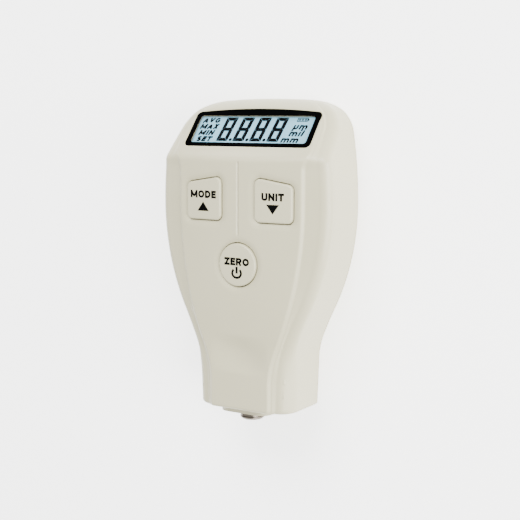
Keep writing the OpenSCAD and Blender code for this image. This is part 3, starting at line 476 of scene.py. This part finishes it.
def make_front_shell():
    shell = lofted("front_shell_skin", front_half, front_stations())
    depth = SKIN + OVERLAP
    boolean(shell, lofted("room", inner_front_half, inner_stations(depth, FRONT_STEPS), depth), "DIFFERENCE")
    collar = rounded_rect(-COLLAR_A, COLLAR_A, -COLLAR_B, COLLAR_B, 4, 13)
    boolean(shell, prism("collar", collar, 0, COLLAR_H + 1, on_probe(FOOT_Y - COLLAR_H)), "UNION")
    boolean(shell, inside_of("front_shell", inner_front_half, FRONT_STEPS, 0), "UNION")
    unit = key_outline(KEY_GAP)
    for outline in (unit, mirrored(unit), circle(0, ZERO_Y, ZERO_R + KEY_GAP, 96)):
        boolean(shell, prism("opening", outline, PANEL_Z - WALL - 3, PANEL_Z + 6), "DIFFERENCE")
    boolean(shell, prism("recess", window_outline(WINDOW_GAP), -WINDOW_T, 3, FACET), "DIFFERENCE")
    view = box("view", -VIEW_W / 2, VIEW_W / 2, VIEW_LO, VIEW_LO + VIEW_LEN, -WALL - 1, 1, FACET)
    boolean(shell, view, "DIFFERENCE")
    bore = prism("bore", circle(0, 0, BUSH_R, 64), 0, COLLAR_H + 5, on_probe(FOOT_Y - COLLAR_H - 1))
    boolean(shell, bore, "DIFFERENCE")
    return shade(shell)


# Fine rear shell
def rear_half(y):
    e, w = end_inset(y), half_w(y) - end_inset(y)
    zb = back_z(y) + e
    b = min(BACK_B, PART_Z - 0.3 - zb)
    draft = 0.5
    a = np.radians(np.linspace(90, 0, 19))
    arc = np.stack([w - draft - BACK_A * (1 - np.cos(a)), zb + b * (1 - np.sin(a))], 1)
    inner = np.linspace(0, 1, 7)[:-1]
    floor = np.stack([inner * arc[0, 0], zb + 0 * inner], 1)
    return np.concatenate([floor, arc, [[w, PART_Z - SEAM], [w - SEAM, PART_Z]]])


def rear_stations():
    a = np.radians(np.linspace(90, 0, 9))
    b = np.radians(np.linspace(0, 90, 12))[1:]
    return np.concatenate([
        FOOT_Y + FOOT_END_R * (1 - np.sin(a)),
        np.arange(FOOT_Y + FOOT_END_R + 0.8, TOP_Y - CORNER_R, 0.8),
        np.linspace(TOP_Y - CORNER_R, TOP_Y - END_R, 11),
        TOP_Y - END_R + END_R * np.sin(b)])


def make_rear_shell():
    shell = lofted("rear_shell_skin", rear_half, rear_stations())
    depth = SKIN + OVERLAP
    boolean(shell, lofted("room", inner_rear_half, inner_stations(depth, REAR_STEPS), depth), "DIFFERENCE")
    slot = COVER_HALF + COVER_GAP
    boolean(shell, box("room", -slot, slot, FOOT_Y, COVER_HI + COVER_GAP, -1, RAIL_Z), "DIFFERENCE")
    slot += TONGUE_W
    boolean(shell, box("slots", -slot, slot, FOOT_Y, COVER_HI + COVER_GAP, GROOVE_Z, RAIL_Z), "DIFFERENCE")
    boolean(shell, inside_of("rear_shell", inner_rear_half, REAR_STEPS, PANEL_Z), "UNION")
    for x, y, seat in posts():
        head = circle(x, y, HEAD_R + HEAD_PLAY, 40)
        boolean(shell, prism("head", head, seat - PART_Z, seat), "DIFFERENCE")
        boolean(shell, prism("shank", circle(x, y, SHANK_R, 24), seat - 1, seat + 6), "DIFFERENCE")
    return shade(shell)


# Key caps with rounded upper edges
def key_top(x):
    return PANEL_Z + CROWN - CROWN_R + np.sqrt((CROWN_R + KEY_RISE) ** 2 - x * x)


def make_key(name, outline, centre, stem_z):
    """A key from its stem to its crowned top: outline(g) gives its outline grown by g."""
    centre = np.array(centre)
    fillet = 0.55
    rings = []

    def ring(points, z):
        rings.append(np.column_stack([points, z + 0 * points[:, 0]]))

    flange = outline(FLANGE_W)
    a = np.arctan2(*(flange - centre).T[::-1])
    stem = centre + STEM_R * np.stack([np.cos(a), np.sin(a)], 1)
    ring(stem, stem_z)
    ring(stem, FLANGE_Z)
    ring(flange, FLANGE_Z)
    ring(flange, FLANGE_Z + FLANGE_T)
    body = outline(0)
    ring(body, FLANGE_Z + FLANGE_T)
    for b in np.radians(np.linspace(0, 90, 8)):
        p = outline(-fillet * (1 - math.cos(b)))
        ring(p, key_top(p[:, 0]) - fillet * (1 - math.sin(b)))
    rim = outline(-fillet)
    for k in np.linspace(1, 0.08, 14)[1:]:
        p = centre + (rim - centre) * k
        ring(p, key_top(p[:, 0]))
    n = len(flange)
    verts = np.concatenate(rings + [[[*centre, stem_z], [*centre, key_top(centre[0])]]]) * MM
    faces = []
    for j in range(len(rings) - 1):
        here, there = j * n, (j + 1) * n
        faces += [(here + i, here + (i + 1) % n, there + (i + 1) % n, there + i) for i in range(n)]
    last = (len(rings) - 1) * n
    faces += [(i, (i + 1) % n, len(verts) - 2) for i in range(n)]
    faces += [(last + i, last + (i + 1) % n, len(verts) - 1) for i in range(n)]
    return shade(link(name, verts, faces), 40)


# Coil springs
def coil(name, place, r0, r1, high, turns, wire_r):
    """A round-wire spring along z from radius r0 to r1, moved by place."""
    steps, sides = int(turns * 40), 14
    t = np.linspace(0, 1, steps + 1)
    a = 2 * np.pi * turns * t
    b = 2 * np.pi * np.arange(sides) / sides
    r = (r0 + (r1 - r0) * t)[:, None] + wire_r * np.cos(b)
    z = (wire_r + (high - 2 * wire_r) * t)[:, None] + wire_r * np.sin(b)
    verts = np.stack([r * np.cos(a)[:, None], r * np.sin(a)[:, None], z], 2).reshape(-1, 3) * MM
    m = np.array(place)
    verts = verts @ m[:3, :3].T + m[:3, 3]
    faces = []
    for i in range(steps):
        here, there = i * sides, (i + 1) * sides
        faces += [(here + k, here + (k + 1) % sides, there + (k + 1) % sides, there + k)
                  for k in range(sides)]
    faces += [tuple(range(sides - 1, -1, -1)), tuple(steps * sides + k for k in range(sides))]
    return shade(link(name, verts, faces), 50)


# Print: thin letters and signs
def stroke(points, t):
    """A thin plate along a line of points, t wide, with mitred bends."""
    p = np.asarray(points, float)
    d = np.diff(p, axis=0)
    d /= np.linalg.norm(d, axis=1)[:, None]
    before, after = np.vstack([d[:1], d]), np.vstack([d, d[-1:]])
    mid = before + after
    mid /= np.linalg.norm(mid, axis=1)[:, None]
    reach = t / 2 / np.maximum((mid * after).sum(1), 0.5)
    side = np.stack([-mid[:, 1], mid[:, 0]], 1) * reach[:, None]
    n = len(p)
    flat = np.concatenate([p + side, p - side])
    verts = np.concatenate([np.column_stack([flat, np.full(2 * n, z)]) for z in (-INK_HALF, INK_HALF)])
    faces = []
    for i in range(n - 1):
        left, right = (i, i + 1), (n + i, n + i + 1)
        faces.append((left[0], left[1], right[1], right[0]))
        faces.append(tuple(2 * n + k for k in (left[0], right[0], right[1], left[1])))
        faces.append((left[1], left[0], 2 * n + left[0], 2 * n + left[1]))
        faces.append((right[0], right[1], 2 * n + right[1], 2 * n + right[0]))
    faces.append((0, n, 3 * n, 2 * n))
    faces.append((n - 1, 3 * n - 1, 4 * n - 1, 2 * n - 1))
    return verts, faces


def arc(cx, cy, rx, ry, a0, a1, n=13):
    a = np.radians(np.linspace(a0, a1, n))
    return [(cx + rx * math.cos(v), cy + ry * math.sin(v)) for v in a]


def glyph(letter, t):
    """Width and lines of a letter one high, drawn with a pen t wide."""
    h = t / 2
    low, top, x_high = h, 1 - h, 0.74

    def bar(y, x0, x1):
        return [(x0, y), (x1, y)]

    def stem(x, y0=0.0, y1=1.0):
        return [(x, y0), (x, y1)]

    if letter in "Il":
        return t, [stem(h)]
    if letter == "i":
        return t, [stem(h, 0, x_high), stem(h, 0.86, 0.86 + t)]
    if letter == "m":
        w = 1.08
        lines = [stem(h, 0, x_high)]
        for x0, x1 in ((h, w / 2), (w / 2, w - h)):
            r = (x1 - x0) / 2
            lines.append(arc(x0 + r, x_high - h - r, r, r, 180, 0) + [(x1, 0)])
        return w, lines
    if letter == "\u00b5":
        w = 0.68
        return w, [stem(h, -0.3, x_high),
                   arc(w / 2, w / 2, w / 2 - h, w / 2 - h, 180, 360) + [(w - h, x_high)]]
    w = {"M": 1.06, "O": 0.94, "D": 0.84, "E": 0.7, "U": 0.82, "N": 0.84, "T": 0.76, "Z": 0.76, "R": 0.82,
         "A": 0.86, "V": 0.84, "G": 0.84, "X": 0.8, "S": 0.72}[letter]
    r = w / 2 - h
    bowl = (top - 0.46) / 2
    lines = {
        "M": [stem(h), stem(w - h), [(h, top), (w / 2, 0.2)], [(w - h, top), (w / 2, 0.2)]],
        "O": [arc(w / 2, 0.5, r, 0.5 - h, 0, 372, 34)],
        "D": [stem(h), [(h, top)] + arc(0.36, 0.5, w - h - 0.36, 0.5 - h, 90, -90) + [(h, low)]],
        "E": [stem(h), bar(top, h, w), bar(0.51, h, w * 0.94), bar(low, h, w)],
        "U": [[(h, 1)] + arc(w / 2, 0.36, r, 0.36 - h, 180, 360) + [(w - h, 1)]],
        "N": [stem(h), stem(w - h), [(h, top), (w - h, low)]],
        "T": [bar(top, 0, w), stem(w / 2)],
        "Z": [bar(top, 0, w), bar(low, 0, w), [(w - t * 0.8, top), (t * 0.8, low)]],
        "R": [stem(h), [(h, top)] + arc(w - h - bowl, top - bowl, bowl, bowl, 90, -90) + [(h, 0.46)],
              [(w * 0.5, 0.46), (w - h, 0)]],
        "A": [[(h * 0.8, 0), (w / 2, top)], [(w - h * 0.8, 0), (w / 2, top)], bar(0.32, w * 0.22, w * 0.78)],
        "V": [[(h * 0.8, 1), (w / 2, low)], [(w - h * 0.8, 1), (w / 2, low)]],
        "G": [arc(w / 2, 0.5, r, 0.5 - h, 42, 318, 25), [(w * 0.55, 0.44), (w - h, 0.44), (w - h, 0.14)]],
        "X": [[(h, 0), (w - h, 1)], [(h, 1), (w - h, 0)]],
        "S": [arc(w / 2, 0.75 - h / 2, r, 0.25 - h / 2, 25, 270)
              + arc(w / 2, 0.25 + h / 2, r, 0.25 - h / 2, 90, -155)[1:]]}[letter]
    return w, lines


def word(letters, high, pen, x, y, lean=0.0, space=0.16, wide=1.0):
    """A short label, high millimetres tall, centred on x and y."""
    t = pen / high
    drawn = [glyph(c, t) for c in letters]
    total = sum(w for w, _ in drawn) * wide + space * (len(drawn) - 1)
    at, shapes = -total / 2, []
    for w, lines in drawn:
        for line in lines:
            q = np.array([(at + px * wide + lean * (py - 0.5), py - 0.5) for px, py in line]) * high
            shapes.append(moved(stroke(q, pen), x, y))
        at += w * wide + space
    return shapes


def flat_shape(outline):
    """A closed thin plate over an outline."""
    p = np.asarray(outline, float)
    n = len(p)
    verts = np.concatenate([np.column_stack([p, np.full(n, z)]) for z in (-INK_HALF, INK_HALF)])
    faces = [tuple(range(n - 1, -1, -1)), tuple(range(n, 2 * n))]
    faces += [(i, (i + 1) % n, n + (i + 1) % n, n + i) for i in range(n)]
    return verts, faces


def moved(shape, dx, dy):
    verts, faces = shape
    return verts + np.array((dx, dy, 0)), faces


def stacked(shapes):
    verts, faces, base = [], [], 0
    for v, f in shapes:
        verts.append(v)
        faces += [tuple(base + i for i in face) for face in f]
        base += len(v)
    return np.concatenate(verts), faces


def print_on_key(name, shapes):
    verts, faces = stacked(shapes)
    verts[:, 2] += key_top(verts[:, 0]) + INK_LIFT
    return link(name, verts * MM, faces, smooth=False)


def print_on_facet(name, shapes, z):
    verts, faces = stacked(shapes)
    verts[:, 2] += z
    m = np.array(FACET)
    return link(name, verts * MM @ m[:3, :3].T + m[:3, 3], faces, smooth=False)


# Seven-segment digits
def slanted(p, lean):
    p = np.asarray(p, float)
    return np.stack([p[:, 0] + lean * p[:, 1], p[:, 1]], 1)


def digit(cx, cy, w, h, t, lean):
    """The seven segments of an eight, with mitred ends."""
    g = 0.06
    hw, hh = w / 2, h / 2

    def across(y, up):
        return [(-hw + g, y), (hw - g, y), (hw - t - g * 0.3, y + up * t), (-hw + t + g * 0.3, y + up * t)]

    def upright(side, y0, y1, cut0, cut1):
        x0, x1 = side * hw, side * (hw - t)
        return [(x0, y0 + g), (x0, y1 - g), (x1, y1 - g - cut1), (x1, y0 + g + cut0)]

    middle = [(-hw + g * 2, 0), (-hw + t * 0.7 + g, t / 2), (hw - t * 0.7 - g, t / 2),
              (hw - g * 2, 0), (hw - t * 0.7 - g, -t / 2), (-hw + t * 0.7 + g, -t / 2)]
    parts = [across(hh, -1), across(-hh, 1), middle]
    for side in (-1, 1):
        parts.append(upright(side, 0, hh, t * 0.55, t))
        parts.append(upright(side, -hh, 0, t, t * 0.55))
    return [moved(flat_shape(slanted(p, lean)), cx, cy) for p in parts]


def lcd_print():
    """Digits, units and signs of the display, on the facet."""
    shapes = []
    for x in (-9.6, -3.55, 2.6, 8.8):
        shapes += digit(x, 11.7, 4.2, 9.3, 1.3, 0.08)
    for x in (-6.85, -0.75, 5.4):
        shapes.append(moved(flat_shape(circle(0, 0, 0.58, 20)), x, 7.65))
    labels = [(-16.8, 15.2, "AVG"), (-16.7, 12.75, "MAX"), (-16.8, 10.3, "MIN"), (-16.7, 7.85, "SET"),
              (16.5, 13.0, "\u00b5m"), (16.0, 10.4, "mil"), (14.6, 7.95, "mm")]
    for x, y, words in labels:
        high = 2.0 if words.isupper() else 2.3
        shapes += word(words, high, 0.62, x, y, 0.22, space=0.13, wide=1.16)
    battery_rim = [(-2.0, -0.72, -1.7, 0.72), (1.4, -0.72, 1.7, 0.72),
                   (-1.7, 0.46, 1.4, 0.72), (-1.7, -0.72, 1.4, -0.46)]
    battery_bars = [(x, -0.28, x + 0.7, 0.28) for x in (-1.5, -0.5, 0.5)]
    battery_tip = [(1.7, -0.36, 2.1, 0.36)]
    for x0, y0, x1, y1 in battery_rim + battery_tip + battery_bars:
        shapes.append(moved(flat_shape([(x0, y0), (x1, y0), (x1, y1), (x0, y1)]), 16.4, 15.55))
    return shapes


# Materials
def node(tree, kind, **values):
    n = tree.nodes.new(kind)
    for key, v in values.items():
        setattr(n, key, v)
    return n


def material(name, colour, rough=0.4, metal=0.0, spread=0.06, tint=None, large=60.0, fine=2600.0,
             bump=0.12, depth=0.00003, rough_spread=0.08, specular=0.5, alpha=1.0, stretch=None):
    """Moulded, drawn or cast surface: colour drifts softly, and a fine grain roughens it."""
    mat = bpy.data.materials.new(name)
    mat.use_nodes = True
    tree = mat.node_tree
    tree.nodes.clear()
    out = node(tree, "ShaderNodeOutputMaterial")
    bsdf = node(tree, "ShaderNodeBsdfPrincipled")
    tree.links.new(bsdf.outputs["BSDF"], out.inputs["Surface"])
    bsdf.inputs["Metallic"].default_value = metal
    bsdf.inputs["Specular IOR Level"].default_value = specular
    bsdf.inputs["Alpha"].default_value = alpha
    coords = node(tree, "ShaderNodeTexCoord")
    where = coords.outputs["Object"]
    if stretch:
        mapping = node(tree, "ShaderNodeMapping")
        mapping.inputs["Scale"].default_value = stretch
        tree.links.new(where, mapping.inputs["Vector"])
        where = mapping.outputs["Vector"]
    drift = node(tree, "ShaderNodeTexNoise")
    drift.inputs["Scale"].default_value = large
    drift.inputs["Detail"].default_value = 4
    grain = node(tree, "ShaderNodeTexNoise")
    grain.inputs["Scale"].default_value = fine
    grain.inputs["Detail"].default_value = 3
    tree.links.new(coords.outputs["Object"], drift.inputs["Vector"])
    tree.links.new(where, grain.inputs["Vector"])
    ramp = node(tree, "ShaderNodeValToRGB")
    low = [c * (1 - spread) for c in colour]
    high = [min(1, c * (1 + spread)) for c in (tint or colour)]
    ramp.color_ramp.elements[0].position = 0.3
    ramp.color_ramp.elements[0].color = (*low, 1)
    ramp.color_ramp.elements[1].position = 0.7
    ramp.color_ramp.elements[1].color = (*high, 1)
    tree.links.new(drift.outputs["Fac"], ramp.inputs["Fac"])
    tree.links.new(ramp.outputs["Color"], bsdf.inputs["Base Color"])
    spreadr = node(tree, "ShaderNodeMapRange")
    spreadr.inputs["From Min"].default_value = 0.25
    spreadr.inputs["From Max"].default_value = 0.75
    spreadr.inputs["To Min"].default_value = max(0.02, rough - rough_spread)
    spreadr.inputs["To Max"].default_value = min(1, rough + rough_spread)
    tree.links.new(grain.outputs["Fac"], spreadr.inputs["Value"])
    tree.links.new(spreadr.outputs["Result"], bsdf.inputs["Roughness"])
    lift = node(tree, "ShaderNodeBump")
    lift.inputs["Strength"].default_value = bump
    lift.inputs["Distance"].default_value = depth
    tree.links.new(grain.outputs["Fac"], lift.inputs["Height"])
    tree.links.new(lift.outputs["Normal"], bsdf.inputs["Normal"])
    return mat


IVORY = (0.43, 0.403, 0.265)
ivory = material("ivory_abs", IVORY, 0.36, spread=0.018, tint=(0.434, 0.406, 0.273), bump=0.10, large=35)
key_ivory = material("key_ivory", (0.436, 0.409, 0.275), 0.42, spread=0.015, bump=0.16, fine=3400)
ink = material("black_ink", (0.002, 0.002, 0.002), 0.8, spread=0.2, bump=0.05, specular=0.0)
mask_black = material("mask_black", (0.001, 0.001, 0.0011), 0.5, spread=0.3, bump=0.02, specular=0.0)
lcd_blue = material("lcd_glass", (0.165, 0.37, 0.48), 0.4, spread=0.03,
                    tint=(0.175, 0.38, 0.49), large=45, bump=0.01)
segment_black = material("lcd_segments", (0.002, 0.0025, 0.003), 0.6, spread=0.3, bump=0.01, specular=0.0)
pane = material("clear_pane", (0.03, 0.032, 0.035), 0.06, spread=0.1, bump=0.0,
                alpha=0.02, rough_spread=0.02)
# Nickel with its base colour painted dark and warm, far below bright nickel, standing in for dark
# surroundings reflected in the metal: painted reflection
nickel_dark_reflection = material("nickel_dark_reflection", (0.135, 0.117, 0.096), 0.22, 1.0, spread=0.06, bump=0.10,
                  fine=1500, stretch=(1, 8, 1))
steel = material("bright_steel", (0.56, 0.56, 0.57), 0.28, 1.0, spread=0.08, bump=0.10, fine=1800)
brass = material("brass_bush", (0.66, 0.50, 0.22), 0.26, 1.0, spread=0.07, bump=0.08, fine=1500)
copper = material("copper_wire", (0.66, 0.30, 0.13), 0.35, 1.0, spread=0.12,
                  fine=5000, bump=0.4, stretch=(1, 9, 1))
board_green = material("board_green", (0.03, 0.16, 0.07), 0.35, spread=0.2, large=240, bump=0.1)
chip_black = material("chip_black", (0.02, 0.02, 0.022), 0.55, spread=0.15, bump=0.2)
dark_plastic = material("dark_plastic", (0.035, 0.035, 0.038), 0.45, spread=0.12, bump=0.15)
grey_rubber = material("contact_rubber", (0.06, 0.06, 0.066), 0.7, spread=0.15, bump=0.3)
white_plastic = material("white_plastic", (0.80, 0.79, 0.75), 0.4, spread=0.02, bump=0.1)
amber_film = material("flat_cable", (0.60, 0.42, 0.16), 0.32, spread=0.1, bump=0.1,
                      stretch=(20, 1, 1), fine=300)
cell_sleeve = material("cell_sleeve", (0.05, 0.075, 0.14), 0.3, spread=0.1,
                       tint=(0.06, 0.085, 0.16), bump=0.05)


def paint(obj, mat):
    obj.data.materials.clear()
    obj.data.materials.append(mat)
    return obj


CAD_LOOKS = {
    "battery_cover": ivory, "lcd_panel": lcd_blue, "light_guide": white_plastic,
    "contact_strips": grey_rubber, "display_board": board_green, "display_screws": steel,
    "display_cable": amber_film, "main_board": board_green, "board_screws": steel,
    "key_switches": dark_plastic, "mode_plunger": white_plastic, "unit_plunger": white_plastic,
    "zero_plunger": white_plastic, "controller_chip": chip_black, "amplifier_chip": chip_black,
    "crystal_can": steel, "probe_connector": white_plastic, "probe_lead": dark_plastic,
    "left_cell": cell_sleeve, "right_cell": cell_sleeve, "bridge_contact": steel,
    "negative_contact": steel, "positive_contact": steel, "battery_springs": steel,
    "case_screws": steel, "probe_bush": brass, "probe_housing": dark_plastic,
    "probe_sleeve": nickel_dark_reflection, "probe_bobbin": dark_plastic, "probe_winding": copper,
    "probe_core": steel, "probe_spring": steel}
for name, mat in CAD_LOOKS.items():
    paint(NODES[name], mat)

# Shells
front = paint(make_front_shell(), ivory)
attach(front, "case")
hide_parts("front_shell")
rear = paint(make_rear_shell(), ivory)
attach(rear, "case")
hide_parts("rear_shell")

# Softened edges of the battery cover
cover = NODES["battery_cover"]
weld = cover.modifiers.new("weld", "WELD")
weld.merge_threshold = 1e-6
soft = cover.modifiers.new("soft", "BEVEL")
soft.width = 0.25 * MM
soft.segments = 2
soft.limit_method = "ANGLE"

# Probe spring, built at one fixed length (in the gauge it shortens as the probe is pushed in)
SLEEVE_HI, SPRING_LEN, PROBE_STROKE = FOOT_Y + 5.1, 4.7, 2.5
COIL_R, COIL_TURNS, COIL_WIRE_R = 3.65, 4, 0.25
spring = coil("probe_coil", on_probe(SLEEVE_HI), COIL_R, COIL_R, SPRING_LEN, COIL_TURNS, COIL_WIRE_R)
paint(spring, steel)
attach(spring, "case")
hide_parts("probe_spring")
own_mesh(spring)

# Battery springs
SPRING_ROOM = BAY_HI - BAY_LO - CONTACT_T - CELL_SEAT - CELL_LEN
CELL_COIL_R, CELL_COIL_TIP_R, CELL_COIL_TURNS, CELL_WIRE_R = 3, 1.6, 2.5, 0.3
coils = []
for x, y, turn in ((-CELL_X, BAY_LO + CONTACT_T, -90), (CELL_X, BAY_HI - CONTACT_T, 90)):
    at = Matrix.Translation((x * MM, y * MM, CELL_Z * MM)) @ Matrix.Rotation(math.radians(turn), 4, "X")
    coils.append(coil("battery_coils", at, CELL_COIL_R, CELL_COIL_TIP_R, SPRING_ROOM, CELL_COIL_TURNS,
                      CELL_WIRE_R))
coils = joined(coils)
shade(paint(coils, steel), 50)
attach(coils, "case")
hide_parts("battery_springs")

# Keys
STEM_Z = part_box("mode_key")[0].z / MM


def mode_outline(g):
    return mirrored(key_outline(g))


def zero_outline(g):
    return circle(0, ZERO_Y, ZERO_R + g, 96)


KEYS = [("mode", mode_outline, (-KEY_MID_X, KEY_MID_Y)), ("unit", key_outline, (KEY_MID_X, KEY_MID_Y)),
        ("zero", zero_outline, (0.0, ZERO_Y))]
for name, outline, centre in KEYS:
    key = paint(make_key(name + "_cap", outline, centre, STEM_Z), key_ivory)
    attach(key, name + "_button")
    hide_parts(name + "_key")

WORD, PEN, WIDE, APART = 2.35, 0.69, 1.12, 0.08
ARROW = np.array([(-2.2, -1.45), (2.2, -1.45), (0, 1.45)])
mode_print = word("MODE", WORD, PEN, -KEY_MID_X, KEY_MID_Y + 1.65, space=APART, wide=WIDE)
mode_print.append(moved(flat_shape(ARROW), -KEY_MID_X, KEY_MID_Y - 2.1))
unit_print = word("UNIT", WORD, PEN, KEY_MID_X, KEY_MID_Y + 1.65, space=APART, wide=WIDE)
unit_print.append(moved(flat_shape(-ARROW), KEY_MID_X, KEY_MID_Y - 2.1))
zero_print = word("ZERO", WORD, PEN, 0, ZERO_Y + 1.0, space=APART, wide=WIDE)
zero_print.append(moved(stroke(arc(0, 0, 1.6, 1.4, 132, 408, 33), 0.74), 0, ZERO_Y - 2.55))
zero_print.append(moved(stroke([(0, -0.1), (0, 2.0)], 0.8), 0, ZERO_Y - 2.55))
for name, shapes in (("mode", mode_print), ("unit", unit_print), ("zero", zero_print)):
    words = paint(print_on_key(name + "_print", shapes), ink)
    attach(words, name + "_button")

# Display: clear plate with a black printed frame, and the liquid crystal's dark signs
plate = prism("window_plate", window_outline(0), -WINDOW_T, -MASK_T, FACET)
paint(plate, pane)
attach(plate, "case")
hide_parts("display_window")
mask = prism("window_mask", window_outline(0), -MASK_T, 0, FACET)
hole = prism("hole", rounded_rect(-MASK_HALF, MASK_HALF, MASK_LO, MASK_HI, MASK_R), -1, 1, FACET)
boolean(mask, hole, "DIFFERENCE")
paint(mask, mask_black)
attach(mask, "case")
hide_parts("display_window")
signs = paint(print_on_facet("display_signs", lcd_print(), LCD_TOP + SIGN_LIFT), segment_black)
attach(signs, "case")

# Floor, light and camera
bpy.ops.mesh.primitive_plane_add(size=40)
floor = bpy.context.object
floor.name = "floor"
paint(floor, material("pale_floor", (0.95, 0.95, 0.94), 0.8, spread=0.01, large=8, fine=500, bump=0.02))
lit = floor.data.materials[0].node_tree.nodes["Principled BSDF"].inputs
lit["Emission Color"].default_value = (1, 1, 1, 1)
lit["Emission Strength"].default_value = 2.0

world = bpy.data.worlds.new("studio")
world.use_nodes = True
world.node_tree.nodes["Background"].inputs["Color"].default_value = (1, 1, 1, 1)
world.node_tree.nodes["Background"].inputs["Strength"].default_value = 1.5
bpy.context.scene.world = world


def area_light(name, place, target, size, watts):
    data = bpy.data.lights.new(name, "AREA")
    data.shape = "RECTANGLE"
    data.size, data.size_y = size
    data.energy = watts
    obj = bpy.data.objects.new(name, data)
    obj.location = place
    obj.rotation_euler = (Vector(target) - Vector(place)).to_track_quat("-Z", "Y").to_euler()
    bpy.context.scene.collection.objects.link(obj)


area_light("key_light", (0.85, -0.05, 0.42), (0, 0, 0.015), (0.5, 0.8), 20.0)
area_light("top_light", (0.05, 0.75, 0.70), (0, 0, 0.015), (0.8, 0.5), 18.0)

# The camera turns about the part's upright, rises over it and leans a little, all in degrees
CAMERA_TURN, CAMERA_RISE, CAMERA_LEAN, CAMERA_LENS = 32.0228, 7.1808, 0.1201, 79.90
CAMERA_AIM, CAMERA_AWAY = (-0.000227, -0.000195, 0.013876), 0.365
camera_data = bpy.data.cameras.new("camera")
camera_data.lens = CAMERA_LENS
camera_data.sensor_width = 36
camera = bpy.data.objects.new("camera", camera_data)
camera.matrix_world = (
    Matrix.Translation(CAMERA_AIM)
    @ Matrix.Rotation(math.radians(CAMERA_TURN), 4, "Y")
    @ Matrix.Rotation(math.radians(-CAMERA_RISE), 4, "X")
    @ Matrix.Rotation(math.radians(CAMERA_LEAN), 4, "Z")
    @ Matrix.Translation((0, 0, CAMERA_AWAY)))
bpy.context.scene.collection.objects.link(camera)
bpy.context.scene.camera = camera

bpy.context.view_layer.update()
